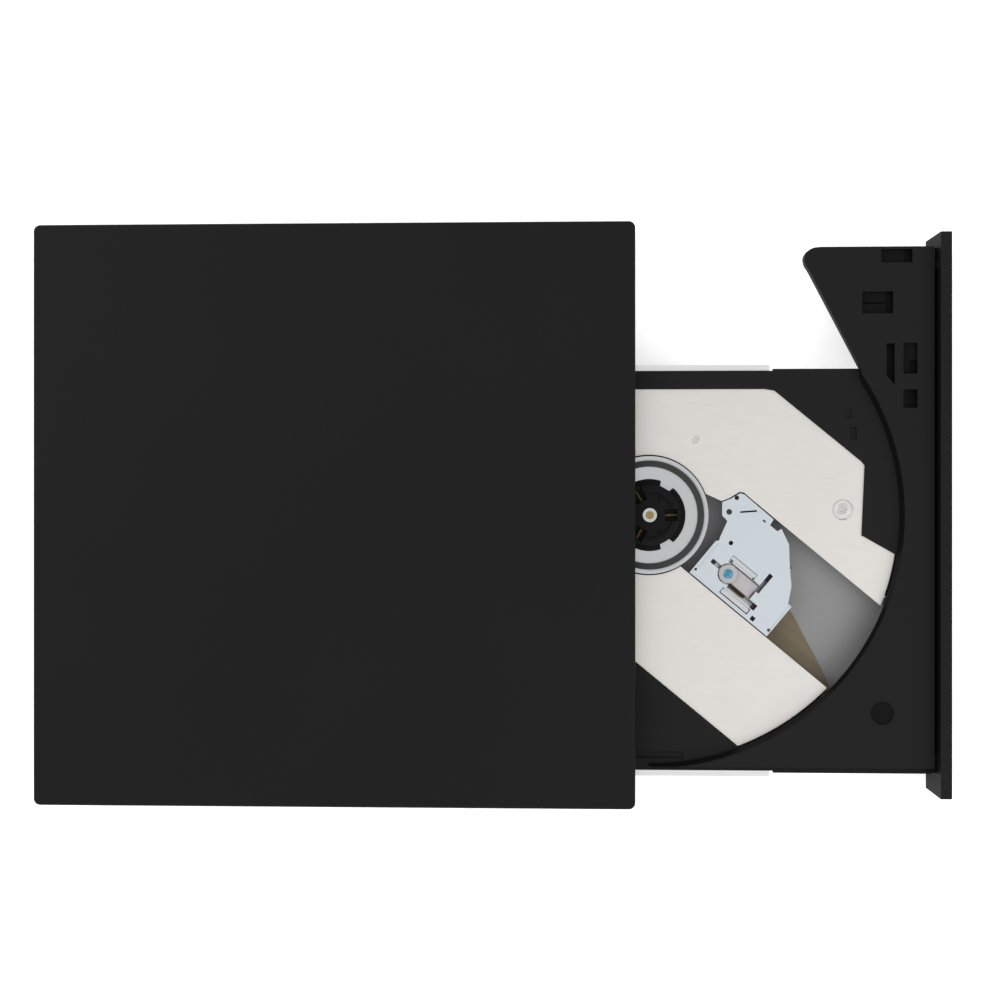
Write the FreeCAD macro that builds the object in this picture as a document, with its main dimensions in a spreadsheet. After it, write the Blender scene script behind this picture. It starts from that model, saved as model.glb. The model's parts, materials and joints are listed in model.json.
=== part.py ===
import FreeCAD, Part
import os
import re
import Sketcher

# A slim tray-loading optical drive in a desktop enclosure, with the tray part-way out.
# Millimetres. +X is the way the tray opens, +Z is up, the feet stand on Z = 0.
# The origin is under the middle of the drive with its tray in the position drawn.

os.makedirs("parts", exist_ok=True)
doc = FreeCAD.newDocument("optical_drive")
X_AXIS = FreeCAD.Rotation(FreeCAD.Vector(0, 1, 0), 90)
Y_AXIS = FreeCAD.Rotation(FreeCAD.Vector(1, 0, 0), -90)

# Driving dimensions: one spreadsheet cell each.
SIZES = {
    "case_length": 145.8,       # enclosure, front to back
    "case_width": 140.9,
    "case_height": 16.0,        # without the feet
    "case_skin": 1.4,           # top and bottom walls
    "case_side": 2.2,           # side and rear walls
    "case_corner": 1.6,         # upright corner radius
    "case_edge": 0.5,           # rounding along the top edge
    "seam_rise": 5.0,           # joint between the two shells, above the case bottom
    "foot_height": 1.0,
    "foot_radius": 5.0,
    "foot_inset": 12.0,
    "tray_open": 75.35,         # how far out the tray stands
    "bezel_width": 135.3,
    "bezel_thick": 2.75,
    "bezel_groove": 0.75,       # between the tray and the bezel
    "bezel_margin": 1.1,        # case height left above and below the bezel
    "bezel_play": 0.3,
    "drive_width": 130.7,
    "drive_depth": 131.6,
    "drive_height": 12.7,       # the slim drive standard
    "drive_sheet": 0.5,
    "drive_shift": 0.45,        # drive set towards +Y in the case
    "drive_lift": 0.25,         # ribs under the drive
    "spindle_setback": 71.7,    # bezel face to turntable axis
    "well_radius": 60.6,        # recess for a 120 mm disc
    "well_depth": 2.2,
    "well_level": 8.35,         # recess floor above the drive's underside
    "cover_sink": 0.6,          # cover plate below the recess floor
    "cover_thick": 0.6,
    "tray_lift": 1.55,          # tray walls above the drive's underside
    "tray_wall": 1.3,
    "wing_side": 64.64,         # widest edge of the tray from the axis
    "tray_side": 35.0,          # narrow edge of the tray on the wing side
    "tray_low_side": 62.0,      # edge of the tray on the other side
    "rail_length": 110.0,
    "rail_width": 1.4,
    "rail_height": 4.4,
    "rail_sheet": 0.4,
    "slot_angle": -39.7,        # direction of the pickup's travel
    "slot_low": -4.75,          # edges of the pickup's slot
    "slot_high": 18.85,
    "rod_radius": 1.25,
    "screw_radius": 0.9,        # lead screw
    "shaft_radius": 1.0,
    "running_fit": 0.05,
    "hub_radius": 7.4,          # clamps a 15 mm disc hole
    "hub_rise": 2.6,
    "turntable_radius": 14.3,
    "pickup_gap": 2.15,         # turntable to the pickup at its innermost
    "pad_rise": 0.6,
    "usb_width": 8.94,          # USB-C receptacle shell
    "usb_height": 3.16,
    "usb_depth": 7.35,
    "usb_side": 20.0,           # socket's place along the rear wall
    "board_thick": 0.8,
}

# Places worked out from the driving dimensions.
PLACES = {
    "case_rear": "-(case_length + tray_open) / 2",
    "case_front": "case_rear + case_length",
    "case_bottom": "foot_height",
    "case_top": "foot_height + case_height",
    "case_floor": "case_bottom + case_skin",
    "case_roof": "case_top - case_skin",
    "case_back": "case_rear + case_side",
    "half_width": "case_width / 2",
    "inner_half": "half_width - case_side",
    "seam": "case_bottom + seam_rise",
    "mouth_depth": "bezel_thick + 0.4",
    "bezel_low": "case_bottom + bezel_margin",
    "bezel_high": "case_top - bezel_margin",
    "bezel_front": "case_front + tray_open",
    "bezel_back": "bezel_front - bezel_thick",
    "spindle": "bezel_front - spindle_setback",
    "drive_front": "case_front - mouth_depth",
    "drive_rear": "drive_front - drive_depth",
    "drive_bottom": "case_floor + drive_lift",
    "drive_top": "drive_bottom + drive_height",
    "drive_low_side": "drive_shift - drive_width / 2",
    "drive_high_side": "drive_shift + drive_width / 2",
    "drive_floor": "drive_bottom + drive_sheet",
    "well_floor": "drive_bottom + well_level",
    "tray_top": "well_floor + well_depth",
    "tray_under": "drive_bottom + tray_lift",
    "deck_under": "well_floor - 1.2",
    "cover_top": "well_floor - cover_sink",
    "cover_under": "cover_top - cover_thick",
    "frame_low": "tray_under + 0.2",
    "frame_high": "frame_low + 0.6",
    "rod_level": "frame_high + 2.1",
    "rail_low": "tray_under + 0.8",
    "rail_high": "rail_low + rail_height",
    "guide_low": "rail_low - 0.7",
    "guide_high": "rail_high + 0.7",
    "tray_wall_low": "-(tray_low_side - 0.4)",
    "tray_wall_high": "tray_side - 0.6",
    "rail_low_in": "-(tray_low_side + 0.3)",
    "rail_low_out": "rail_low_in - rail_width",
    "rail_high_in": "tray_side + 0.2",
    "rail_high_out": "rail_high_in + rail_width",
    "rail_front": "spindle + 29.3",
    "rail_rear": "rail_front - rail_length",
    "board_low": "drive_floor + 0.75",
    "board_high": "board_low + board_thick",
    "table_top": "well_floor + 0.4",
    "pad_top": "table_top + pad_rise",
    "hub_top": "table_top + hub_rise",
    "adapter_front": "drive_rear - 0.3",
    "adapter_low": "board_low + 0.1",
    "adapter_high": "adapter_low + board_thick",
    "usb_rear": "case_rear + 0.2",
    "nose": "spindle_setback - bezel_thick - bezel_groove",
    "sled_shift": "turntable_radius + pickup_gap - 16.45",
}

sheet = doc.addObject("Spreadsheet::Sheet", "sizes")
for row, (alias, value) in enumerate(SIZES.items(), start=1):
    sheet.set(f"A{row}", str(value))
    sheet.setAlias(f"A{row}", alias)
doc.recompute()

nodes = []
count = [0]


def tied(formula):
    """Write a formula of named sizes and places as one that reads the spreadsheet."""
    def name(match):
        word = match.group(0)
        if word in PLACES:
            return "(" + tied(PLACES[word]) + ")"
        return f"sizes.{word}" if word in SIZES else word
    return re.sub(r"[a-z][a-z_]*", name, str(formula))


def add(kind, name):
    count[0] += 1
    return doc.addObject(kind, f"{name}_{count[0]}")


def put(item, x, y, z):
    for axis, formula in zip("xyz", (x, y, z)):
        item.setExpression(f".Placement.Base.{axis}", tied(formula))
    return item


def block(x, y, z):
    """A box from three (low, high) pairs."""
    item = add("Part::Box", "block")
    for size, (low, high) in zip(("Length", "Width", "Height"), (x, y, z)):
        item.setExpression(size, tied(f"({high}) - ({low})"))
    return put(item, x[0], y[0], z[0])


def rod(x, y, z, radius):
    """An upright cylinder over the (low, high) pair z."""
    item = add("Part::Cylinder", "rod")
    item.setExpression("Radius", tied(radius))
    item.setExpression("Height", tied(f"({z[1]}) - ({z[0]})"))
    return put(item, x, y, z[0])


def rod_along_x(x, y, z, radius):
    """A level cylinder over the (low, high) pair x."""
    item = add("Part::Cylinder", "rod")
    item.Placement = FreeCAD.Placement(FreeCAD.Vector(), X_AXIS)
    item.setExpression("Radius", tied(radius))
    item.setExpression("Height", tied(f"({x[1]}) - ({x[0]})"))
    return put(item, x[0], y, z)


def cone(x, y, z, low_radius, high_radius):
    item = add("Part::Cone", "cone")
    item.setExpression("Radius1", tied(low_radius))
    item.setExpression("Radius2", tied(high_radius))
    item.setExpression("Height", tied(f"({z[1]}) - ({z[0]})"))
    return put(item, x, y, z[0])


def fuse(*items):
    if len(items) == 1:
        return items[0]
    item = add("Part::MultiFuse", "fuse")
    item.Shapes = list(items)
    item.Refine = True
    return item


def cut(base, *tools):
    item = add("Part::Cut", "cut")
    item.Base = base
    item.Tool = fuse(*tools)
    item.Refine = True
    return item


def common(*items):
    item = add("Part::MultiCommon", "common")
    item.Shapes = list(items)
    return item


def group(*items):
    item = add("Part::Compound", "group")
    item.Links = list(items)
    return item


def prism(points, z, x="spindle", y="0"):
    """A padded polygon sketch. The points are offsets from (x, y)."""
    body = add("PartDesign::Body", "prism")
    sketch = body.newObject("Sketcher::SketchObject", f"outline_{count[0]}")
    plane = [item for item in body.Origin.OriginFeatures if item.Role == "XY_Plane"][0]
    sketch.AttachmentSupport = (plane, [""])
    sketch.MapMode = "FlatFace"
    corners = [FreeCAD.Vector(value(px), value(py), 0) for px, py in points]
    total = len(corners)
    for index in range(total):
        sketch.addGeometry(Part.LineSegment(corners[index], corners[(index + 1) % total]))
    for index, (px, py) in enumerate(points):
        after = (index + 1) % total
        sketch.addConstraint(Sketcher.Constraint("Coincident", index, 2, after, 1))
        for kind, formula, start in (("DistanceX", px, corners[index].x),
                                     ("DistanceY", py, corners[index].y)):
            rule = sketch.addConstraint(Sketcher.Constraint(kind, -1, 1, index, 1, start))
            sketch.setExpression(f"Constraints[{rule}]", tied(formula))
    pad = body.newObject("PartDesign::Pad", f"pad_{count[0]}")
    pad.Profile = sketch
    pad.setExpression("Length", tied(f"({z[1]}) - ({z[0]})"))
    return put(body, x, y, z[0])


def value(formula):
    """A formula's value with the sizes as they are written, to draw a sketch with."""
    names = {alias: float(sheet.get(alias)) for alias in SIZES}
    text = re.sub(r"sizes\.([a-z_]+)", lambda match: str(names[match.group(1)]), tied(formula))
    return FreeCAD.Units.Quantity(text).Value


def rounded_block(x, y, z, radius):
    """A box with rounded upright corners."""
    low_x, high_x = f"({x[0]}) + ({radius})", f"({x[1]}) - ({radius})"
    low_y, high_y = f"({y[0]}) + ({radius})", f"({y[1]}) - ({radius})"
    corners = [rod(px, py, z, radius) for px in (low_x, high_x) for py in (low_y, high_y)]
    return fuse(block(x, (low_y, high_y), z), block((low_x, high_x), y, z), *corners)


def soften(item, radius, wanted):
    """Fillet the edges that a rule picks."""
    doc.recompute()
    picked = [index for index, edge in enumerate(item.Shape.Edges, start=1) if wanted(edge)]
    fillet = add("Part::Fillet", "fillet")
    fillet.Base = item
    fillet.Edges = [(index, radius, radius) for index in picked]
    return fillet


def turned(item, x="spindle", angle="slot_angle", y="0"):
    """Carry a piece drawn along the pickup's slot, or along any ray, to its place."""
    holder = group(item)
    base = f"vector({tied(x)}; {tied(y)}; 0)"
    holder.setExpression("Placement", f"placement({base}; rotation(vector(0; 0; 1); {tied(angle)}))")
    return holder


def screw(x, y, seat, head_radius, head_height, shank_radius, length, way=1):
    """A pan-head cross screw. way 1 has its head above the seat, way -1 below it."""
    top = f"({seat}) + {way} * ({head_height})"
    tip = f"({seat}) - {way} * ({length})"
    head_z = (seat, top) if way > 0 else (top, seat)
    shank_z = (tip, seat) if way > 0 else (seat, tip)
    deep = f"({top}) - {way} * ({head_height}) * 0.7"
    slot_z = (deep, top) if way > 0 else (top, deep)
    wide, thin = f"({head_radius}) * 0.6", f"({head_radius}) * 0.13"
    cross = fuse(block((f"({x}) - ({wide})", f"({x}) + ({wide})"),
                       (f"({y}) - ({thin})", f"({y}) + ({thin})"), slot_z),
                 block((f"({x}) - ({thin})", f"({x}) + ({thin})"),
                       (f"({y}) - ({wide})", f"({y}) + ({wide})"), slot_z))
    return cut(fuse(rod(x, y, head_z, head_radius), rod(x, y, shank_z, shank_radius)), cross)


def near(offset):
    """A place along X counted from the turntable axis."""
    return f"spindle + ({offset})"


def node(item, label):
    item.Label = label
    nodes.append(item)
    return item


# ---------------------------------------------------------------- enclosure

CASE_X = ("case_rear", "case_front")
CASE_Y = ("-half_width", "half_width")
SCREW_X = "case_back + 3.0"
SCREW_Y = "inner_half - 3.0"


def mouth():
    """The front opening: wide for the bezel, then just wider than the drive."""
    play = "bezel_width / 2 + bezel_play"
    return fuse(block(("case_front - mouth_depth", "case_front + 1"), (f"-({play})", play),
                      ("bezel_low - bezel_play", "bezel_high + bezel_play")),
                block(("case_back", "case_front + 1"), ("-inner_half", "inner_half"),
                      ("case_floor", "case_roof")))


def usb_window():
    wide = "usb_width / 2 + 0.25"
    return block(("case_rear - 1", "case_back + 1"), (f"usb_side - ({wide})", f"usb_side + {wide}"),
                 ("adapter_high - 0.25", "adapter_high + usb_height + 0.25"))


def make_top_cover():
    shell = rounded_block(CASE_X, CASE_Y, ("seam", "case_top"), "case_corner")
    edge_radius = min(SIZES["case_edge"], SIZES["case_skin"] * 0.5)
    top = value("case_top")
    shell = soften(shell, edge_radius, lambda edge: edge.BoundBox.ZMin > top - 0.001)
    shell = cut(shell, mouth(), usb_window())
    bosses = [rod(SCREW_X, f"{side} * ({SCREW_Y})", ("seam", "case_roof"), "2.4") for side in (-1, 1)]
    holes = [rod(SCREW_X, f"{side} * ({SCREW_Y})", ("seam - 1", "seam + 4"), "1.0") for side in (-1, 1)]
    node(cut(fuse(shell, *bosses), *holes), "top_cover")


def make_bottom_cover():
    shell = rounded_block(CASE_X, CASE_Y, ("case_bottom", "seam"), "case_corner")
    shell = cut(shell, mouth(), usb_window())
    ribs = [block((f"drive_rear + {place}", f"drive_rear + {place} + 2"),
                  ("drive_low_side + 3", "drive_high_side - 3"), ("case_floor - 0.2", "drive_bottom"))
            for place in (6, 56, 118)]
    lips = [block(("case_back + 8", "case_front - 12"), pair, ("case_floor - 0.2", "seam + 2"))
            for pair in (("-inner_half", "-inner_half + 0.9"), ("inner_half - 0.9", "inner_half"))]
    posts = [rod("adapter_front - 4", y, ("case_floor - 0.2", "adapter_low"), "1.6") for y in (36, -4)]
    bosses = [rod(SCREW_X, f"{side} * ({SCREW_Y})", ("case_bottom + 0.5", "seam"), "2.4")
              for side in (-1, 1)]
    shell = fuse(shell, *ribs, *lips, *posts, *bosses)
    holes = []
    for side in (-1, 1):
        y = f"{side} * ({SCREW_Y})"
        holes.append(rod(SCREW_X, y, ("case_bottom - 1", "seam + 1"), "1.0"))
        holes.append(rod(SCREW_X, y, ("case_bottom - 1", "case_bottom + 0.8"), "2.1"))
        y = f"drive_shift + {side * 54}"
        holes.append(rod("drive_rear + 63", y, ("case_bottom - 1", "drive_bottom + 1"), "1.0"))
        holes.append(rod("drive_rear + 63", y, ("case_bottom - 1", "case_bottom + 0.8"), "2.1"))
    holes += [rod(x, y, ("case_bottom - 1", "case_bottom + 0.4"), "foot_radius")
              for x, y in foot_places()]
    node(cut(shell, *holes), "bottom_cover")


def foot_places():
    return [(x, y) for x in ("case_rear + foot_inset", "case_front - foot_inset")
            for y in ("-(half_width - foot_inset)", "half_width - foot_inset")]


def make_case_hardware():
    feet = [rod(x, y, ("0", "case_bottom + 0.4"), "foot_radius") for x, y in foot_places()]
    node(group(*feet), "rubber_feet")
    screws = []
    for side in (-1, 1):
        screws.append(screw(SCREW_X, f"{side} * ({SCREW_Y})", "case_bottom + 0.8", 1.9, 0.7, 1.0,
                            "seam_rise + 2", -1))
        screws.append(screw("drive_rear + 63", f"drive_shift + {side * 54}", "case_bottom + 0.8",
                            1.9, 0.7, 1.0, "drive_floor - case_bottom - 0.4", -1))
    node(group(*screws), "case_screws")


def make_adapter():
    board = block(("case_back + 0.3", "adapter_front - 0.4"), ("-7", "61"), ("adapter_low", "adapter_high"))
    chips = [block((f"adapter_front - {x + 5}", f"adapter_front - {x}"), (y, y + wide),
                   ("adapter_high", f"adapter_high + {tall}"))
             for x, y, wide, tall in ((1.4, 31, 5, 0.9), (1.4, 1, 2.5, 0.8), (1.4, 5, 3.2, 1.1))]
    node(fuse(board, *chips), "adapter_board")
    y = ("usb_side - usb_width / 2", "usb_side + usb_width / 2")
    z = ("adapter_high", "adapter_high + usb_height")
    long = ("usb_rear", "usb_rear + usb_depth")
    outer = level_pill(long, y, z)
    inner = level_pill(("usb_rear - 1", "usb_rear + usb_depth - 0.4"),
                       (f"{y[0]} + 0.3", f"{y[1]} - 0.3"), (f"{z[0]} + 0.3", f"{z[1]} - 0.3"))
    node(cut(outer, inner), "usb_socket_shell")
    tongue = fuse(block(("usb_rear + 1.4", "usb_rear + usb_depth - 0.4"),
                        ("usb_side - 3.34", "usb_side + 3.34"),
                        ("adapter_high + usb_height / 2 - 0.35", "adapter_high + usb_height / 2 + 0.35")),
                  level_pill(("usb_rear + usb_depth - 1.6", "usb_rear + usb_depth - 0.4"),
                             (f"{y[0]} + 0.3", f"{y[1]} - 0.3"), (f"{z[0]} + 0.3", f"{z[1]} - 0.3")))
    node(tongue, "usb_socket_tongue")
    shell = block(("adapter_front - 4.6", "adapter_front"), ("43.5", "60.5"),
                  ("adapter_high", "adapter_high + 3.9"))
    slot = block(("adapter_front - 3.6", "adapter_front + 1"), ("44.5", "59.5"),
                 ("adapter_high + 1.0", "adapter_high + 2.9"))
    node(cut(shell, slot), "sata_receptacle")


def level_pill(x, y, z):
    """A bar along X with fully rounded sides."""
    half = f"(({z[1]}) - ({z[0]})) / 2"
    middle = f"({z[0]}) + {half}"
    left, right = f"({y[0]}) + {half}", f"({y[1]}) - {half}"
    return fuse(block(x, (left, right), z), rod_along_x(x, left, middle, half),
                rod_along_x(x, right, middle, half))


# ---------------------------------------------------------------- drive chassis

SHEET_SCREWS = [("drive_rear + 4", "drive_low_side + 2.3"), ("drive_rear + 4", "drive_high_side - 2.3"),
                ("drive_front - 5", "drive_low_side + 2.3"), ("drive_front - 5", "drive_high_side - 2.3")]
PLUG_Y = (44.5, 59.5)
POST_X = "drive_rear + 7.5"
POST_Y = "-30"


def make_chassis():
    x = ("drive_rear", "drive_front")
    y = ("drive_low_side", "drive_high_side")
    wall_top = "drive_top - drive_sheet"
    pan = block(x, y, ("drive_bottom", wall_top))
    hollow = block(("drive_rear + drive_sheet", "drive_front + 1"),
                   ("drive_low_side + drive_sheet", "drive_high_side - drive_sheet"),
                   ("drive_floor", "drive_top"))
    pan = cut(pan, hollow)
    tabs = [block((f"({px}) - 2", f"({px}) + 2"),
                  (f"({py}) - 2.1", f"({py}) + 2.1"), (f"{wall_top} - 0.5", wall_top))
            for px, py in SHEET_SCREWS]
    posts = [rod(f"drive_rear + {px}", py, ("drive_floor - 0.2", "board_low"), "1.5")
             for px, py in ((12, 41.5), (120, 41.5), (16, 62), (120, 62))]
    window = block(("drive_rear - 1", "drive_rear + 1"), (PLUG_Y[0] - 1.2, PLUG_Y[1] + 1.2),
                   ("board_low - 0.4", "board_high + 4.2"))
    holes = [rod(px, py, (f"{wall_top} - 2", "drive_top"), "0.7") for px, py in SHEET_SCREWS]
    holes += [rod("drive_rear + 63", f"drive_shift + {side * 54}", ("drive_bottom - 1", "drive_floor + 1"),
                  "1.0") for side in (-1, 1)]
    node(cut(fuse(pan, *tabs, *posts), window, *holes), "drive_base_pan")
    lid = block(x, y, (wall_top, "drive_top"))
    seats = [cone(px, py, (wall_top, "drive_top"), "0.7", "1.3") for px, py in SHEET_SCREWS]
    node(cut(lid, *seats), "drive_top_plate")
    screws = [fuse(cone(px, py, (wall_top, "drive_top"), "0.7", "1.3"),
                   rod(px, py, (f"{wall_top} - 0.9", wall_top), "0.7")) for px, py in SHEET_SCREWS]
    node(group(*screws), "chassis_screws")
    head = fuse(rod(POST_X, POST_Y, ("drive_floor", "drive_floor + 5.2"), "0.8"),
                rod(POST_X, POST_Y, ("drive_floor", "drive_floor + 0.5"), "1.6"))
    node(head, "latch_post")


def make_main_board():
    board = block(("drive_rear + 3", "drive_front - 4"), ("38.3", "drive_high_side - drive_sheet - 0.3"),
                  ("board_low", "board_high"))
    places = [(40, 44, 14, 14, 1.2), (62, 47, 9, 9, 1.0), (84, 43, 11, 8, 1.1), (20, 43, 6, 5, 0.9),
              (103, 44, 9, 15, 2.2), (60, 59, 12, 3, 0.7), (30, 60, 4, 2.4, 1.4)]
    chips = [block((f"drive_rear + {px}", f"drive_rear + {px + long}"), (py, py + wide),
                   ("board_high", f"board_high + {tall}")) for px, py, long, wide, tall in places]
    node(fuse(board, *chips), "main_board")
    housing = block(("drive_rear + 1.2", "drive_rear + 7"), (PLUG_Y[0] - 0.8, PLUG_Y[1] + 0.8),
                    ("board_high", "board_high + 3.9"))
    tongue = block(("adapter_front - 3.2", "drive_rear + 2"), (PLUG_Y[0] + 0.2, PLUG_Y[1] - 0.2),
                   ("board_high + 1.3", "board_high + 2.8"))
    node(fuse(housing, tongue), "sata_plug")


def make_rail_guides():
    x = ("drive_rear + 9", "drive_front - 3")
    low_wall = "drive_low_side + drive_sheet"
    web = block(x, (low_wall, "rail_low_out - 0.2"), ("guide_low", "guide_high"))
    upper = block(x, (low_wall, "rail_low_out + 0.7"), ("rail_high + 0.2", "guide_high"))
    lower = block(x, (low_wall, "rail_low_in"), ("guide_low", "rail_low - 0.2"))
    node(fuse(web, upper, lower), "rail_guide_right")
    web = block(x, ("rail_high_out + 0.2", "rail_high_out + 0.7"), ("drive_floor", "guide_high"))
    upper = block(x, ("rail_high_out - 0.7", "rail_high_out + 0.7"), ("rail_high + 0.2", "guide_high"))
    lower = block(x, ("rail_high_in + 0.2", "rail_high_out + 0.7"), ("guide_low", "rail_low - 0.2"))
    foot = block(x, ("rail_high_out + 0.2", "rail_high_out + 1.6"), ("drive_floor", "drive_floor + 0.5"))
    node(fuse(web, upper, lower, foot), "rail_guide_left")


def make_slide_rails():
    x = ("rail_rear", "rail_front")
    z = ("rail_low", "rail_high")
    hollow_z = ("rail_low + rail_sheet", "rail_high - rail_sheet")
    hollow_x = ("rail_rear + 0.6", "rail_front + 1")
    right = cut(block(x, ("rail_low_out", "rail_low_in"), z),
                block(hollow_x, ("rail_low_out + rail_sheet", "rail_low_in + 1"), hollow_z))
    node(right, "slide_rail_right")
    left = cut(block(x, ("rail_high_in", "rail_high_out"), z),
               block(hollow_x, ("rail_high_in - 1", "rail_high_out - rail_sheet"), hollow_z))
    node(left, "slide_rail_left")


def make_flat_cable():
    low = ("drive_floor + 0.1", "drive_floor + 0.2")
    high = ("tray_under - 0.6", "tray_under - 0.5")
    fold = "drive_front - 13"
    y = ("-22", "-2")
    node(fuse(block(("drive_front - 52", fold), y, low), block((near(-50), fold), y, high),
              block((f"{fold} - 0.1", fold), y, (low[0], high[1]))), "flat_cable")


# ---------------------------------------------------------------- tray

TRAY_REAR = "-61.9"
STEP = 30.0
WING_FOOT = (50.6, 35.46)
BUTTON_Y = "-53"
PINHOLE_Y = "-47"
LIGHT_Y = "-43"
COVER_EDGE = [(-44, 23), (-38, 30.6), (28.0, 30.6), (30.4, 30.2), (51.3, 13.0), (52.1, 12.0), (51.36, -5.0),
              (52.32, -5.48), (61.3, -10.6), (70, -30), (46, -62), (24.8, -58.8), (-44, -2.2)]


def shifted(points, gap):
    """The polygon moved outwards by gap on every side."""
    moved = []
    total = len(points)
    for index in range(total):
        before, here, after = points[index - 1], points[index], points[(index + 1) % total]
        one = outward(before, here)
        two = outward(here, after)
        scale = gap / (1 + one[0] * two[0] + one[1] * two[1])
        moved.append((here[0] + (one[0] + two[0]) * scale, here[1] + (one[1] + two[1]) * scale))
    return moved


def outward(start, end):
    """Unit normal on the left of a clockwise polygon's side."""
    along_x, along_y = end[0] - start[0], end[1] - start[1]
    length = (along_x ** 2 + along_y ** 2) ** 0.5
    return (-along_y / length, along_x / length)


def tray_outline(side_low, side_high, rear, nose):
    return [(rear, "21"), ("-46", side_high), (nose, side_high), (nose, side_low), ("-46", side_low),
            (rear, "-44")]


def wing_outline():
    """The wing beyond the tray's narrow side, up to the corner round."""
    return [WING_FOOT, (38.35, 58.9), (37.75, 59.8), (37.3, 60.6), (37.08, 61.8), (37.2, 62.6), (37.75, 63.5),
            (38.6, 64.1), (39.6, 64.5), ("41.2", "wing_side"), ("nose", "wing_side"), ("nose", "-16"),
            ("57.0", "-16"), ("57.0", "16.7"), ("52.0", "27.5")]


def disc_well(z):
    """The recess for the disc, with a drafted wall and a broken top edge."""
    return fuse(cone("spindle", "0", z, "well_radius - 0.3", "well_radius + 0.7"),
                cone("spindle", "0", (f"({z[1]}) - 0.25", f"({z[1]}) + 0.01"), "well_radius + 0.58",
                     "well_radius + 0.95"),
                rod("spindle", "0", (z[1], f"({z[1]}) + 1"), "well_radius + 0.95"))


def pickup_bay():
    """Room under the tray's front for the pickup at the disc's edge."""
    points = [(40, -5.3), (40, 19.6), (66, 19.6), (77.5, 6.2), (77.5, -5.3)]
    return turned(prism(points, ("tray_under - 1", "well_floor + 0.2"), x="0"))


def make_tray():
    deck = prism(tray_outline("-tray_low_side", "tray_side", TRAY_REAR, "nose"),
                 ("deck_under", "well_floor"))
    step = block((near(STEP), near("nose")), ("-(tray_low_side + 0.5)", "tray_side + 0.46"),
                 ("deck_under", "well_floor"))
    front = prism([(0, "-(tray_low_side - 1.1)"), (0, -56), (40, -16), ("nose", -16),
                   ("nose", "-(tray_low_side - 1.1)")], ("well_floor", "tray_top"))
    rear = prism([(TRAY_REAR, -44), (TRAY_REAR, 21), ("-48", 33), ("-40", 33), ("-40", -56), ("-50", -56)],
                 ("well_floor", "tray_top"))
    wing = prism(wing_outline(), ("well_floor - 0.6", "tray_top"))
    top = value("tray_top")
    wing = soften(wing, 0.3, lambda edge: edge.BoundBox.ZMin > top - 0.001 and edge.BoundBox.YMin > 35)
    wing_hollow = prism([(52.0, 36.5), (40.2, 58.6), (40.6, 62.0), ("43", "wing_side - 1.4"),
                         ("nose - 1.5", "wing_side - 1.4"), ("nose - 1.5", 36.5)],
                        ("well_floor - 2", "well_floor"))
    high = cut(fuse(front, rear, wing), disc_well(("well_floor", "tray_top")), wing_hollow)
    walls = prism(tray_outline("tray_wall_low", "tray_wall_high", "-61.3", "nose - 0.4"),
                  ("tray_under", "deck_under"))
    inner_sides = ("tray_wall_low + tray_wall", "tray_wall_high - tray_wall")
    inside = prism(tray_outline(*inner_sides, "-60.0", "nose - 1.7"), ("tray_under - 1", "deck_under"))
    runners = [block((near(-40), near(29)), pair, ("rail_low + 1.6", "rail_low + 2.8"))
               for pair in (("tray_wall_low - 1.2", "tray_wall_low + 0.4"),
                            ("tray_wall_high - 0.4", "tray_wall_high + 1.5"))]
    seat = block((near("nose - 0.3"), "bezel_back"), ("-58", "60"), ("tray_under + 1", "deck_under - 0.6"))
    face = block((near("nose - 1.4"), near("nose")), ("-tray_low_side", "wing_side - 0.5"),
                 ("tray_under + 0.6", "tray_top - 0.5"))
    lugs = [prism(lug, ("cover_under - 1.2", "cover_under"))
            for lug in ([(43.4, -1.6), (43.4, 4.2), (54, 4.2), (54, -1.6)],
                        [(-42, 20), (-42, 32), (-32, 32), (-32, 26), (-36, 20)],
                        [(-46, -4), (-46, 4), (-38, 4), (-36, -6), (-40, -8)])]
    ends = [block((near("nose"), "bezel_back"), pair, ("deck_under", "tray_top - 0.9"))
            for pair in (("wing_side - 2.6", "wing_side - 0.3"), ("-tray_low_side", "-(tray_low_side - 2)"))]
    skeleton = fuse(deck, step, high, cut(walls, inside), *runners, seat, face, *ends, *lugs)
    opening = common(prism(shifted(COVER_EDGE, 0.15), ("deck_under - 0.01", "tray_top + 1")),
                     rod("spindle", "0", ("cover_under", "tray_top + 1"), "well_radius"))
    notch = block((near(-63), near(-52.6)), ("-33", "-22.6"), ("tray_under - 1", "deck_under"))
    rail_gap = block((near("nose - 2.3"), near("nose - 0.1")), ("rail_high_in - 0.3", "rail_high_out + 0.3"),
                     ("rail_low - 0.5", "rail_high + 0.3"))
    pusher_hole = block((near(-62), near(-40)), ("-56.4", "-53.6"), ("tray_under + 2.0", "tray_under + 4.8"))
    button_hole = block((near("nose - 3.3"), "bezel_back + 1"), (f"{BUTTON_Y} - 3.2", f"{BUTTON_Y} + 3.2"),
                        ("tray_under + 1.4", "tray_under + 4.6"))
    pin_hole = rod_along_x((near("nose - 3.3"), "bezel_back + 1"), PINHOLE_Y, "tray_under + 3", "0.7")
    light_hole = block((near("nose - 3.3"), "bezel_back + 1"), (f"{LIGHT_Y} - 1.2", f"{LIGHT_Y} + 1.2"),
                       ("tray_under + 1.7", "tray_under + 4.3"))
    screw_holes = [rod(near(x), y, ("deck_under - 3", "cover_top"), "0.9") for x, y in COVER_SCREWS]
    node(cut(skeleton, opening, pickup_bay(), notch, rail_gap, pusher_hole, button_hole, pin_hole, light_hole,
             *screw_holes, *wing_pockets(), *tray_marks()), "tray")


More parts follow.
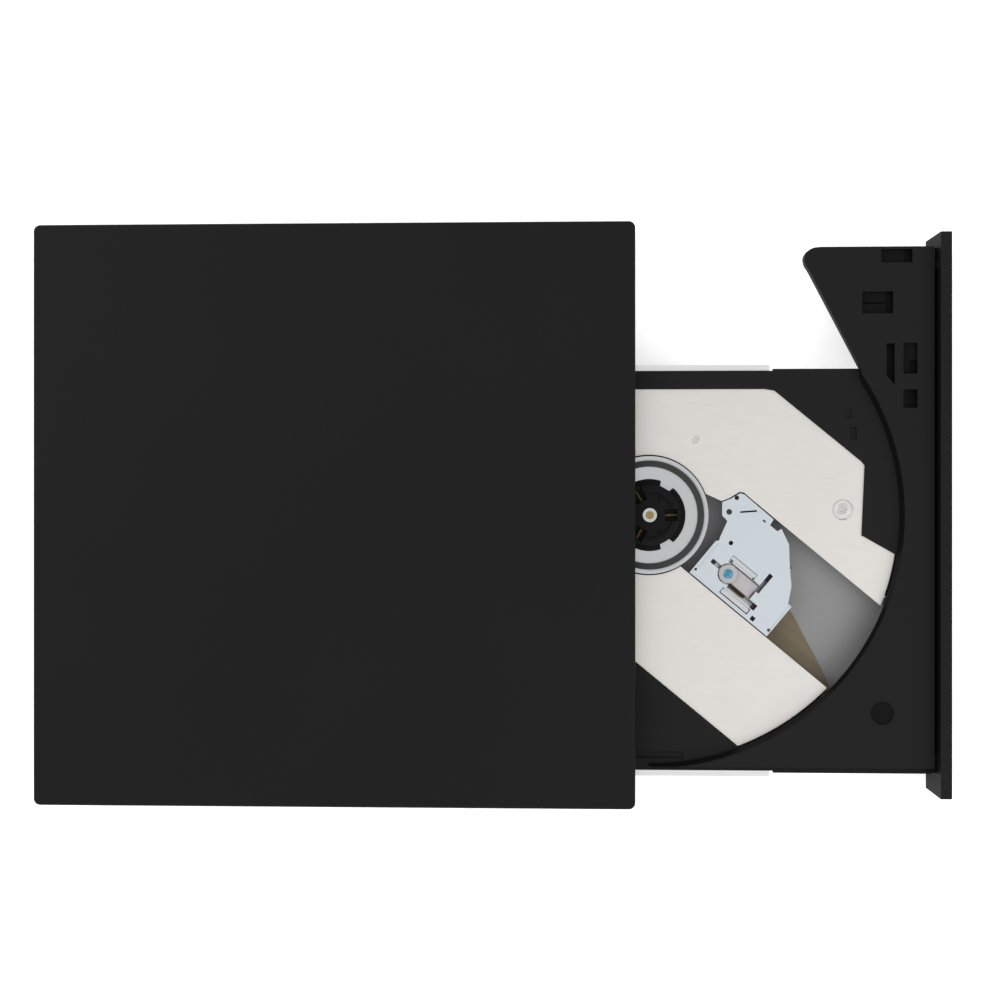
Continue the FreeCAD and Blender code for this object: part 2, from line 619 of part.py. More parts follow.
def wing_pockets():
    """The snap pockets moulded into the wing, each with a shallower ledge."""
    deep = ("well_floor + 0.6", "tray_top + 1")
    shallow = ("tray_top - 0.9", "tray_top + 1")
    ledges = [((55.5, 61.0), (60.74, 63.98)), ((50.98, 56.9), (51.35, 53.8)), ((50.98, 56.7), (48.5, 50.85)),
              ((60.8, 64.1), (37.3, 41.4)), ((60.8, 62.3), (34.0, 37.3)), ((60.8, 62.1), (25.8, 30.25))]
    wells = [((61.0, 62.95), (60.74, 63.98)), ((56.7, 58.34), (48.5, 53.8)), ((50.98, 56.7), (50.85, 51.35)),
             ((62.3, 64.1), (34.0, 37.3)), ((62.1, 64.1), (25.8, 30.25))]
    pockets = [block((near(x[0]), near(x[1])), y, shallow) for x, y in ledges]
    pockets += [block((near(x[0]), near(x[1])), y, deep) for x, y in wells]
    pockets.append(prism([(56.75, 33.6), (56.75, 41.3), (58.7, 41.3), (58.7, 31.4)], deep))
    return pockets


def tray_marks():
    """Ejector dimples, small gate pips and a groove in the tray's faces."""
    return [rod(near(55.7), "-47.6", ("tray_top - 0.25", "tray_top + 1"), "2.8"),
            block((near(48.5), near(50.1)), (18.3, 21.3), ("well_floor - 0.5", "well_floor + 0.01")),
            block((near(47.4), near(48.9)), (23.5, 25.6), ("well_floor - 0.3", "well_floor + 0.01")),
            block((near(-30), near(8.2)), (-59.1, -57.4), ("well_floor - 0.5", "well_floor + 0.01"))]


def make_cover_plate():
    blank = common(prism(COVER_EDGE, ("cover_under", "cover_top")),
                   rod("spindle", "0", ("cover_under - 1", "cover_top + 1"), "well_radius - 0.5"))
    z = ("cover_under - 1", "cover_top + 1")
    slot = turned(prism([(7.0, "slot_low"), (7.0, 12.7), ("8.1 + sled_shift", 13.0),
                         ("11.4 + sled_shift", 13.9),
                         ("12.4 + sled_shift", 15.7), ("13.3 + sled_shift", 18.3), ("14.2 + sled_shift", 18.95),
                         ("17.1 + sled_shift", "slot_high"), (70, "slot_high"), (70, "slot_low")], z, x="0"))
    holes = [rod(near(x), y, z, "0.9") for x, y in COVER_SCREWS]
    blank = cut(blank, slot, rod("spindle", "0", z, "turntable_radius + 0.4"), *holes)
    dimple = rod(near(11.34), "18.3", ("cover_top - 0.15", "cover_top + 1"), "1.1")
    node(cut(blank, dimple), "traverse_cover")
    screws = [screw(near(x), y, "cover_top", 2.4, 0.45, 0.9, "1.6") for x, y in COVER_SCREWS]
    node(group(*screws), "cover_screws")


COVER_SCREWS = [(46.91, 1.3), (-37, 26.4), (-40.5, 0)]


def make_bezel():
    y = ("-bezel_width / 2", "bezel_width / 2")
    slab = block(("bezel_back", "bezel_front"), y, ("bezel_low", "bezel_high"))
    front = value("bezel_front")
    slab = soften(slab, 0.35, lambda edge: edge.BoundBox.XMin > front - 0.001)
    cushion = block(("bezel_front - 0.3", "bezel_front + 1"), ("-(bezel_width / 2 - 4)", "bezel_width / 2 - 4"),
                    ("bezel_low + 10.2", "bezel_low + 10.6"))
    hooks = [block((near("nose"), "bezel_back + 0.05"), (py, py + 5), ("deck_under - 0.4", "deck_under + 0.6"))
             for py in (-30, 10, 44)]
    button = block(("bezel_back - 1", "bezel_front + 1"), (f"{BUTTON_Y} - 3.3", f"{BUTTON_Y} + 3.3"),
                   ("tray_under + 1.3", "tray_under + 4.7"))
    pin = rod_along_x(("bezel_back - 1", "bezel_front + 1"), PINHOLE_Y, "tray_under + 3", "0.6")
    light = block(("bezel_back - 1", "bezel_front + 1"), (f"{LIGHT_Y} - 1", f"{LIGHT_Y} + 1"),
                  ("tray_under + 2.2", "tray_under + 3.8"))
    node(cut(fuse(slab, *hooks), cushion, button, pin, light), "bezel")


def make_tray_inside():
    sheet_outline = tray_outline("tray_wall_low + 0.1", "tray_wall_high - 0.1", "-61.2", "nose - 0.5")
    floor = prism(sheet_outline, ("tray_under - 0.4", "tray_under"))
    notch = block((near(-63), near(-52.6)), ("-33", "-22.6"), ("tray_under - 1", "tray_under + 1"))
    vents = [block((near(px), near(px + 14)), (22, 23.6), ("tray_under - 1", "tray_under + 1"))
             for px in (-40, -20, 0, 20)]
    slit = block((near(-50.6), near(-49.4)), (-22.6, -1.4), ("tray_under - 1", "tray_under + 1"))
    node(cut(floor, notch, slit, *vents), "tray_bottom_cover")
    board = block((near("nose - 6.5"), near("nose - 2.1")), ("-58.6", f"{LIGHT_Y} + 2"),
                  ("tray_under + 0.1", "tray_under + 0.7"))
    led = block((near("nose - 3.7"), near("nose - 2.3")), (f"{LIGHT_Y} - 0.8", f"{LIGHT_Y} + 0.8"),
                ("tray_under + 0.7", "tray_under + 3.6"))
    switch = block((near("nose - 6.3"), near("nose - 3.7")), (f"{BUTTON_Y} - 3", f"{BUTTON_Y} + 3"),
                   ("tray_under + 0.7", "tray_under + 4.4"))
    node(fuse(board, switch, led), "tray_board")
    node(block((near("nose - 2.1"), "bezel_front - 0.05"), (f"{LIGHT_Y} - 0.9", f"{LIGHT_Y} + 0.9"),
               ("tray_under + 2.3", "tray_under + 3.7")), "light_pipe")
    cap = block((near("nose - 0.7"), "bezel_front"), (f"{BUTTON_Y} - 3", f"{BUTTON_Y} + 3"),
                ("tray_under + 1.6", "tray_under + 4.4"))
    stem = block((near("nose - 2.6"), near("nose - 0.6")), (f"{BUTTON_Y} - 1", f"{BUTTON_Y} + 1"),
                 ("tray_under + 2.2", "tray_under + 3.8"))
    node(fuse(cap, stem), "eject_button")


def make_latch():
    arm = prism([(-47.5, -24.5), (-47.5, -20.8), (-44.2, -20.8), (-44.2, -25.2), (-53.6, -27.2), (-56.9, -29.0),
                 (-57.0, -31.6), (-58.0, -31.6), (-58.2, -28.2), (-54.0, -25.6)],
                ("tray_under + 0.9", "tray_under + 2.5"))
    pivot = ("tray_under - 0.01", "tray_under + 4.0")
    node(cut(arm, rod(near(-45.9), "-22.6", pivot, "0.85")), "latch_lever")
    node(rod(near(-45.9), "-22.6", ("tray_under", "tray_under + 3.4"), "0.8"), "latch_pivot_pin")
    body = block((near(-43), near(-32)), ("-24.5", "-18.5"), ("tray_under", "tray_under + 4.4"))
    bore = rod_along_x((near(-44), near(-31)), "-21.5", "tray_under + 2.2", "0.95")
    node(cut(body, bore), "latch_solenoid")
    node(rod_along_x((near(-43.6), near(-33)), "-21.5", "tray_under + 2.2", "0.9"), "solenoid_plunger")
    barrel = block((near(-46.6), near(-30)), ("-56.8", "-53.2"), ("tray_under", "tray_under + 5.2"))
    hollow = rod_along_x((near(-47), near(-30.8)), "-55", "tray_under + 3.4", "1.35")
    node(cut(barrel, hollow), "pusher_barrel")
    node(fuse(rod_along_x((near(-61.9), near(-42)), "-55", "tray_under + 3.4", "0.9"),
              rod_along_x((near(-45.5), near(-43.9)), "-55", "tray_under + 3.4", "1.25")), "eject_pusher")
    node(rod_along_x((near(-41.9), near(-30.8)), "-55", "tray_under + 3.4", "1.1"), "eject_spring")


# ---------------------------------------------------------------- disc motor

def make_motor():
    base = fuse(rod("spindle", "0", ("frame_high", "frame_high + 0.5"), "13.4"),
                block((near(-17), near(-12)), ("-4", "4"), ("frame_high", "frame_high + 0.5")))
    node(cut(base, rod("spindle", "0", ("frame_high - 1", "frame_high + 2"), "2.3")), "spindle_base")
    z = ("frame_low + 0.1", "frame_high + 3.4")
    node(cut(rod("spindle", "0", z, "2.3"), rod("spindle", "0", ("frame_low", "table_top"),
                                                "shaft_radius + running_fit")), "spindle_bearing")
    core = rod("spindle", "0", ("frame_high + 1.0", "frame_high + 2.6"), "4.4")
    teeth = []
    for index in range(9):
        tooth = fuse(block(("2.6", "9.6"), ("-0.8", "0.8"), ("frame_high + 1.2", "frame_high + 2.4")),
                     block(("9.2", "10.4"), ("-2.2", "2.2"), ("frame_high + 1.0", "frame_high + 2.6")))
        teeth.append(turned(tooth, angle=str(index * 40)))
    seat = rod("spindle", "0", ("frame_high + 0.5", "frame_high + 1.2"), "3.6")
    coils = [turned(block(("5.2", "8.9"), ("-1.5", "1.5"), ("frame_high + 0.85", "frame_high + 2.75")),
                    angle=str(index * 40)) for index in range(9)]
    node(cut(fuse(core, seat, *teeth, *coils), rod("spindle", "0", ("frame_low", "table_top"), "2.3")),
         "spindle_stator")
    node(rod("spindle", "0", ("frame_low + 0.4", "hub_top - 0.1"), "shaft_radius"), "spindle_shaft")
    cup = fuse(rod("spindle", "0", ("frame_high + 3.7", "frame_high + 4.3"), "12.4"),
               cut(rod("spindle", "0", ("frame_high + 0.9", "frame_high + 4.3"), "12.4"),
                   rod("spindle", "0", ("frame_high", "frame_high + 5"), "11.0")),
               rod("spindle", "0", ("frame_high + 4.0", "table_top - 0.5"), "10.5"))
    rim = fuse(rod("spindle", "0", ("table_top - 1.0", "table_top"), "turntable_radius"),
               cut(rod("spindle", "0", ("table_top - 0.1", "table_top + 0.3"), "turntable_radius"),
                   rod("spindle", "0", ("table_top - 1", "table_top + 1"), "turntable_radius - 0.8")))
    boss = rod("spindle", "0", ("table_top - 1", "hub_top - 0.2"), "shaft_radius + 0.7")
    bore = rod("spindle", "0", ("frame_low", "hub_top"), "shaft_radius")
    node(cut(fuse(cup, rim, boss), bore), "turntable")
    pad = cut(rod("spindle", "0", ("table_top", "pad_top"), "turntable_radius - 1.05"),
              rod("spindle", "0", ("table_top - 1", "pad_top + 1"), "turntable_radius - 2.55"))
    node(pad, "turntable_pad")


def make_hub():
    flange = rod("spindle", "0", ("table_top", "table_top + 0.4"), "hub_radius + 1.35")
    boss = rod("spindle", "0", ("table_top", "hub_top - 0.5"), "hub_radius")
    crown = cone("spindle", "0", ("hub_top - 0.5", "hub_top"), "hub_radius", "hub_radius - 1.0")
    hub = cut(fuse(boss, crown, flange),
              rod("spindle", "0", ("hub_top - 0.6", "hub_top + 1"), "hub_radius - 1.8"))
    notches = [turned(prism([("hub_radius + 0.05", -1.3), ("hub_radius + 0.05", 1.3), ("hub_radius + 2", 2.0),
                             ("hub_radius + 2", -2.0)], ("table_top - 0.01", "table_top + 1"), x="0"),
                      angle=str(angle)) for angle in (60, 180, 300)]
    channels = [turned(block(("hub_radius - 3.7", "hub_radius + 3"), ("-1.45", "1.45"),
                             ("table_top + 0.7", "hub_top + 1")), angle=str(angle)) for angle in (0, 120, 240)]
    dimples = [turned(rod("hub_radius - 2.8", "0", ("hub_top - 0.9", "hub_top + 1"), "0.45"), angle=str(angle))
               for angle in (60, 180, 300)]
    shaft_hole = rod("spindle", "0", ("table_top - 1", "hub_top + 1"), "shaft_radius + 0.7")
    node(cut(hub, *notches, *channels, *dimples, shaft_hole), "clamp_hub")
    springs = []
    for index, angle in enumerate((0, 120, 240), start=1):
        claw = fuse(block(("hub_radius - 0.8", "hub_radius"), ("-1.3", "1.3"),
                          ("table_top + 0.8", "hub_top - 0.15")),
                    block(("hub_radius - 0.4", "hub_radius + 0.08"), ("-1.3", "1.3"),
                          ("pad_top + 1.25", "hub_top - 0.15")))
        node(turned(claw, angle=str(angle)), f"clamp_claw_{index}")
        spring = block(("hub_radius - 3.6", "hub_radius - 1.4"), ("-0.5", "0.5"),
                       ("table_top + 0.8", "table_top + 1.8"))
        springs.append(turned(spring, angle=str(angle)))
    node(group(*springs), "claw_springs")


# ---------------------------------------------------------------- pickup and its drive

MAIN_ROD = "slot_low - 2.75"
SUB_ROD = "slot_high + 3.25"
LEAD = "slot_low - 11.9"
LENS = (23.94, 1.25)


def rod_along_slot(start, end, across, level, radius):
    """A level cylinder along the pickup's travel, drawn before it is turned into place."""
    return rod_along_x((start, end), across, level, radius)


def make_traverse_frame():
    outline = [(-26, -6), (-26, 28.6), (27.3, 28.6), (49, 12.6), (50.2, -3.6), (59.5, -9.5), (63.6, -21),
               (60.3, -40.6), (55, -48.6), (47.5, -55.4), (22.5, -55), (-26, -14.2)]
    plate = prism(outline, ("frame_low", "frame_high"))
    hole = rod("spindle", "0", ("frame_low - 1", "frame_high + 1"), "2.3")
    stands = []
    for start, end, across in ((12.8, 15.0, MAIN_ROD), (70.6, 72.4, MAIN_ROD), (15, 17.4, SUB_ROD),
                               (60.5, 62.5, SUB_ROD)):
        stands.append(turned(block((start, end), (f"{across} - 1.8", f"{across} + 1.8"),
                                   ("frame_low", "rod_level + rod_radius"))))
    bores = [turned(rod_along_slot(13.2, 72.0, MAIN_ROD, "rod_level", "rod_radius")),
             turned(rod_along_slot(15.6, 61.9, SUB_ROD, "rod_level", "rod_radius"))]
    seats = [rod(near(x), y, ("frame_low - 1", "frame_high + 1"), "1.7") for x, y in GROMMETS]
    motor_bed = turned(block((-3.3, 9.3), (f"{LEAD} - 2.7", f"{LEAD} + 2.7"),
                             ("frame_low - 1", "frame_high + 1")))
    node(cut(fuse(plate, *stands), hole, motor_bed, *bores, *seats), "traverse_frame")
    node(turned(rod_along_slot(13.2, 72.0, MAIN_ROD, "rod_level", "rod_radius")), "main_guide_rod")
    node(turned(rod_along_slot(15.6, 61.9, SUB_ROD, "rod_level", "rod_radius")), "sub_guide_rod")
    rings = [cut(fuse(rod(near(x), y, ("frame_low - 0.2", "frame_high + 0.9"), "1.7"),
                      rod(near(x), y, ("frame_high", "frame_high + 0.9"), "2.4")),
                 rod(near(x), y, ("frame_low - 1", "frame_high + 2"), "0.9")) for x, y in GROMMETS]
    node(group(*rings), "damper_grommets")
    screws = [screw(near(x), y, "frame_high + 0.9", 1.9, 0.5, 0.9, "frame_high - frame_low + 1.1")
              for x, y in GROMMETS]
    node(group(*screws), "damper_screws")


GROMMETS = [(-21.5, 24.5), (22, 25.2), (43.5, 12.0), (26, -50.6)]


def make_sled_drive():
    motor = rod_along_slot(-3, 9, LEAD, "rod_level - 0.1", "2.55")
    node(turned(motor), "sled_motor")
    threads = [rod_along_slot(start, start + 0.9, LEAD, "rod_level - 0.1", "screw_radius")
               for start in [12 + 1.5 * turn for turn in range(36)]]
    core = rod_along_slot(9.2, 66.6, LEAD, "rod_level - 0.1", "screw_radius - 0.2")
    node(turned(fuse(core, *threads)), "lead_screw")
    base = block((-3, 67), (f"{LEAD} - 2.2", f"{LEAD} + 2.2"), ("frame_high", "frame_high + 0.3"))
    ends = [block(pair, (f"{LEAD} - 2.2", f"{LEAD} + 2.2"), ("frame_high", "rod_level + 1.8"))
            for pair in ((9.0, 9.6), (66.0, 67.0))]
    gap = block((9.6, 66.0), (f"{LEAD} - 1.4", f"{LEAD} + 1.4"), ("frame_high - 1", "frame_high + 1"))
    bed = block((-4, 9.0), (f"{LEAD} - 3", f"{LEAD} + 3"), ("frame_high - 1", "frame_high + 1"))
    hole = rod_along_slot(8, 68, LEAD, "rod_level - 0.1", "screw_radius - 0.2 + running_fit")
    node(turned(cut(fuse(base, *ends), gap, bed, hole)), "lead_screw_bracket")


def on_sled(item):
    """Carry a piece of the pickup, drawn along the slot, to its place beside the turntable."""
    return turned(item, x="spindle + sled_shift * cos(slot_angle)", y="sled_shift * sin(slot_angle)")


def make_pickup():
    z = ("frame_high + 0.45", "cover_under - 0.35")
    main = prism([(18.2, -4.2), (18.2, 17.6), (29.6, 16.2), (38.6, 4.9), (39.9, -4.2)], z, x="0")
    arms = [block((19, 23.5), (f"{MAIN_ROD} - 1.9", "0"), ("frame_high + 0.45", "rod_level + 1.9")),
            block((31, 36), (f"{MAIN_ROD} - 1.9", "0"), ("frame_high + 0.45", "rod_level + 1.9")),
            block((20, 24), ("10", f"{SUB_ROD} + 0.6"), ("frame_high + 0.45", "rod_level - rod_radius - 0.15")),
            block((20, 24), ("10", f"{SUB_ROD} + 0.6"), ("rod_level + rod_radius + 0.1", "rod_level + 2.1")),
            block((20, 24), ("10", f"{SUB_ROD} - 1.8"), ("frame_high + 0.45", "rod_level + 2.1"))]
    bore = rod_along_slot(10, 60, MAIN_ROD, "rod_level", "rod_radius + running_fit")
    well = block((20.0, 33.8), (-3.4, 6.0), ("rod_level - 0.6", "cover_top"))
    diode = rod_along_slot(31.9, 37.6, "11.0", "rod_level - 0.1", "1.6")
    node(on_sled(cut(fuse(main, *arms), bore, well, diode)), "pickup_base")
    make_pickup_cover()
    walls = [block((22.1, 29.5), (4.5, 5.4), ("rod_level - 0.6", "well_floor - 0.35")),
             block((25.2, 33.4), (-3.3, -2.2), ("rod_level - 0.6", "well_floor - 0.35")),
             block((23.0, 29.2), (3.9, 4.5), ("rod_level - 0.3", "cover_top - 0.5")),
             block((25.6, 33.0), (-2.2, -1.5), ("rod_level - 0.3", "cover_top - 0.5"))]
    yoke = block((20.1, 33.7), (-3.3, 5.9), ("rod_level - 0.6", "rod_level - 0.2"))
    node(on_sled(fuse(yoke, *walls)), "actuator_yoke")
    holder = fuse(block((LENS[0] - 0.5, 31.4), (-0.1, 3.6), ("rod_level + 0.5", "cover_top - 0.6")),
                  rod(LENS[0], LENS[1], ("rod_level + 0.5", "cover_top - 0.1"), "2.3"))
    node(on_sled(cut(holder, rod(LENS[0], LENS[1], ("rod_level", "cover_top + 1"), "1.2"))), "lens_holder")
    dome = common(rod(LENS[0], LENS[1], ("cover_top - 1.2", "cover_top + 0.3"), "1.2"),
                  sphere(LENS[0], LENS[1], "cover_top - 1.9", "2.2"))
    node(on_sled(dome), "objective_lens")
    node(on_sled(rod_along_slot(31.9, 35.2, "11.0", "rod_level - 0.1", "1.6")), "laser_diode")


def make_pickup_cover():
    """The stamped plate over the pickup, with the lens's window and the openings beside it."""
    low, high = "well_floor - 0.6", "well_floor - 0.2"
    through = ("cover_under - 1", "well_floor + 1")
    beads = [block(x, y, (low, high + " + 0.2"))
             for x, y in (((16.45, 16.95), (-4.45, 5.45)), ((17.4, 17.75), (-2.4, 5.3)),
                          ((40.25, 40.7), (-3.6, 4.9)), ((18.2, 33.6), (-4.45, -4.05)))]
    legs = [block(x, y, ("cover_under - 0.35", "well_floor - 0.4"))
            for x, y in (((31.2, 31.8), (9, 12)), ((37.8, 38.4), (0, 3.5)), ((18.5, 18.9), (10, 12.5)))]
    window = [rod(LENS[0], LENS[1], through, "2.6"), block((18.7, 21.8), (0.7, 1.8), through),
              block((23.9, 31.8), (-0.3, 4.0), through), block((25.6, 34.3), (-1.75, -0.2), through),
              block((22.0, 29.6), (3.5, 5.55), through), block((31.5, 32.6), (2.2, 7.75), through)]
    holes = [rod(x, y, through, radius)
             for x, y, radius in ((13.7, 16.8, "0.55"), (14.45, 13.0, "0.7"), (19.6, 7.45, "0.55"),
                                  (40.1, -3.0, "0.4"), (17.1, -2.9, "0.35"))]
    holes += [block((25.0, 33.6), (-3.55, -2.0), through), block((34.8, 35.9), (-3.9, -2.8), through),
              block((22.0, 22.8), (16.5, 16.9), through),
              prism([(16.4, 14.8), (16.7, 14.5), (19.6, 17.3), (19.3, 17.6)], through, x="0")]
    plate = fuse(prism(PICKUP_OUTLINE, (low, high), x="0"), *beads, *legs)
    node(on_sled(cut(plate, *window, *holes)), "pickup_cover")


def sphere(x, y, z, radius):
    item = add("Part::Sphere", "sphere")
    item.setExpression("Radius", tied(radius))
    return put(item, x, y, z)


PICKUP_OUTLINE = [(16.45, -4.45), (16.45, 5.45), (17.0, 6.1), (16.65, 6.95), (15.55, 11.0), (13.7, 11.25),
                  (11.65, 13.75), (12.7, 15.6), (13.65, 18.2), (14.6, 18.6), (17.0, 18.55), (23.9, 18.45),
                  (24.1, 16.8), (26.4, 16.8), (26.8, 17.9), (30.6, 16.15), (34.5, 11.8), (37.6, 8.65),
                  (39.6, 4.95), (40.7, 4.9), (40.7, -4.45)]


def make_rack():
    arm = block((23.5, 30.9), (f"{LEAD} - 1.6", f"{MAIN_ROD} - 1.4"), ("rod_level + 1.1", "rod_level + 1.7"))
    joint = block((23.5, 30.9), (f"{MAIN_ROD} - 1.7", "-4.2"), ("rod_level + 1.5", "rod_level + 2.0"))
    jaw = cut(block((24.2, 30.2), (f"{LEAD} - 1.5", f"{LEAD} + 1.5"), ("rod_level - 0.1", "rod_level + 1.4")),
              rod_along_slot(20, 34, LEAD, "rod_level - 0.1", "screw_radius + running_fit"))
    node(on_sled(fuse(arm, joint, jaw)), "rack_follower")


# ---------------------------------------------------------------- build and check

make_top_cover()
make_bottom_cover()
make_case_hardware()
make_adapter()
make_chassis()
make_main_board()
make_rail_guides()
make_slide_rails()
make_flat_cable()
make_tray()
make_cover_plate()
make_bezel()
make_tray_inside()
make_latch()
make_motor()
make_hub()
make_traverse_frame()
make_sled_drive()
make_pickup()
make_rack()
doc.recompute()

for item in doc.Objects:
    if "Invalid" in item.State or "Error" in item.State:
        raise RuntimeError(f"{item.Label} did not compute: {item.State}")
for item in nodes:
    if item.Shape.isNull() or not item.Shape.isValid() or not item.Shape.Solids:
        raise RuntimeError(f"{item.Label} has no sound shape")
    item.Shape.exportStep(f"parts/{item.Label}.step")
print(len(nodes), "nodes")
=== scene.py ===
# %% [markdown]
# A slim disc drive in a flat desktop case, drawn with its tray part-way out.
# The solid parts come from the engineering model, already at their real size in metres. This lesson
# gives each of them a finish, and models the small pieces that make a drive look real: the rings
# stamped into the plate over the laser, the coil springs in the hub and the ribbon that feeds the laser.

# %% Load the engineering model
import json
import math

import bpy
from mathutils import Matrix, Vector


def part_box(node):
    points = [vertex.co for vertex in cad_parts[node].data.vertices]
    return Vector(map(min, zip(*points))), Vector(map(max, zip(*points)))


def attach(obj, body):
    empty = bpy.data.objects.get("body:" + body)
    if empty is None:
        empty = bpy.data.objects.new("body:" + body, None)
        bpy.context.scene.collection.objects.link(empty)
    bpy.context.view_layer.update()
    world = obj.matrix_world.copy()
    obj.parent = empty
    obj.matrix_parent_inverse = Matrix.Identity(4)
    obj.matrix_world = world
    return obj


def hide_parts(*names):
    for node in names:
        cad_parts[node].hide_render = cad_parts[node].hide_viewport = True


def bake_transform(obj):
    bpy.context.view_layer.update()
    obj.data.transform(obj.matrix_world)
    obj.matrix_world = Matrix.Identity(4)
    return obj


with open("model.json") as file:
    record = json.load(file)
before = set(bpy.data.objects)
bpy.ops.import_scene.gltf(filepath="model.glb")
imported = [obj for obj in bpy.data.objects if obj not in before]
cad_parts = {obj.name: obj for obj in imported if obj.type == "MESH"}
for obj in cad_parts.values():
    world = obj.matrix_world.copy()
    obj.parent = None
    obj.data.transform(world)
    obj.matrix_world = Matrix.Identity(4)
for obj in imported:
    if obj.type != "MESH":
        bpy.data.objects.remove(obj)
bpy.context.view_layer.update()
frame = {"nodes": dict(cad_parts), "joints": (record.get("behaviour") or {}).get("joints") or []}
nodes = frame["nodes"]
joints = {joint["name"]: joint for joint in frame["joints"]}

# %% [markdown]
# Nearly everything on this drive is placed from two lines: the axis that the disc turns about, and the
# direction that the laser travels in. Both are read from the model, so nothing is typed twice.

# %% Find the two working lines
MM = 0.001
axis_low, axis_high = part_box("turntable")
SPINDLE = (axis_low + axis_high) / 2
TRAVEL = Vector(joints["pickup_travel"]["axis"])
TRAVEL_ANGLE = math.atan2(TRAVEL.y, TRAVEL.x)
print("disc axis at", [round(value / MM, 2) for value in SPINDLE], "mm, laser travels at",
      round(math.degrees(TRAVEL_ANGLE), 1), "degrees")


# %% [markdown]
# The drive is seen from straight above through a 51 mm lens, about 36 cm up. The camera leans by two
# degrees, and the wide view is why the inside face of the tray's front panel shows.

# %% Set the camera
CAMERA_BACK = Vector((0.035, 0.0, 1.0)).normalized()
camera_data = bpy.data.cameras.new("camera")
camera_data.lens = 51.35
camera_data.clip_start = 0.01
camera = bpy.data.objects.new("camera", camera_data)
bpy.context.scene.collection.objects.link(camera)
across = Vector((1, 0, 0))
across = (across - CAMERA_BACK * across.dot(CAMERA_BACK)).normalized()
upright = CAMERA_BACK.cross(across)
turn = Matrix((across, upright, CAMERA_BACK)).transposed().to_4x4()
viewpoint = Vector((SPINDLE.x - 24.1 * MM, SPINDLE.y + 3.65 * MM, 359.0 * MM))
camera.matrix_world = Matrix.Translation(viewpoint) @ turn
bpy.context.scene.camera = camera


# %% [markdown]
# Every piece below starts as a primitive that Blender adds and makes active. These two helpers clear what
# was selected before it and give the new piece its name.

# %% Small helpers for picking and adding
def clear_selection():
    """Nothing selected, nothing in edit mode."""
    if bpy.context.object and bpy.context.object.mode != "OBJECT":
        bpy.ops.object.mode_set(mode="OBJECT")
    bpy.ops.object.select_all(action="DESELECT")


def added(name):
    """Name the primitive that was just added."""
    piece = bpy.context.object
    piece.name = name
    piece.data.name = name
    return piece


# %% [markdown]
# The drive stands on a wide pale sheet, far larger than itself, so that no edge of it comes into view.

# %% Floor
clear_selection()
bpy.ops.mesh.primitive_plane_add(size=8)
floor = added("floor")

# %% [markdown]
# A product on white is lit from everywhere at once. The pale floor, an even sky and three wide square lamps
# leave no hard shadow, and the sky is darker straight up so that black plastic stays black.

# %% Lamps and sky
bpy.context.scene.view_settings.view_transform = "Standard"


def lamp(name, size, power, place, aim=(0, 0, 0)):
    """A square softbox that looks at a point."""
    data = bpy.data.lights.new(name, "AREA")
    data.shape = "SQUARE"
    data.size = size
    data.energy = power
    item = bpy.data.objects.new(name, data)
    bpy.context.scene.collection.objects.link(item)
    item.location = place
    item.rotation_euler = (Vector(aim) - Vector(place)).to_track_quat("-Z", "Y").to_euler()
    return item


lamp("softbox_left", 1.2, 9.0, (-1.1, 0.5, 1.0))
lamp("softbox_right", 1.2, 6.0, (1.2, -0.3, 1.1))
lamp("softbox_front", 1.0, 5.0, (0.2, -1.2, 0.9))

sky = bpy.data.worlds.new("even_sky")
bpy.context.scene.world = sky
sky.use_nodes = True
sky_nodes = sky.node_tree.nodes
sky_links = sky.node_tree.links
sky_place = sky_nodes.new("ShaderNodeTexCoord")
sky_split = sky_nodes.new("ShaderNodeSeparateXYZ")
sky_ramp = sky_nodes.new("ShaderNodeValToRGB")
sky_ramp.color_ramp.elements[0].position = 0.0
sky_ramp.color_ramp.elements[0].color = (0.95, 0.95, 0.95, 1)
sky_ramp.color_ramp.elements[1].position = 1.0
sky_ramp.color_ramp.elements[1].color = (0.78, 0.78, 0.78, 1)
sky_links.new(sky_place.outputs["Generated"], sky_split.inputs["Vector"])
sky_links.new(sky_split.outputs["Z"], sky_ramp.inputs["Fac"])
sky_links.new(sky_ramp.outputs["Color"], sky_nodes["Background"].inputs["Color"])
sky_nodes["Background"].inputs["Strength"].default_value = 1.0


# %% [markdown]
# Every finish starts from one shader and a place in the object's own coordinates. Patterns are sized in
# millimetres: a moulded grain of 0.2 mm is a noise scale of 1 divided by 0.0002.

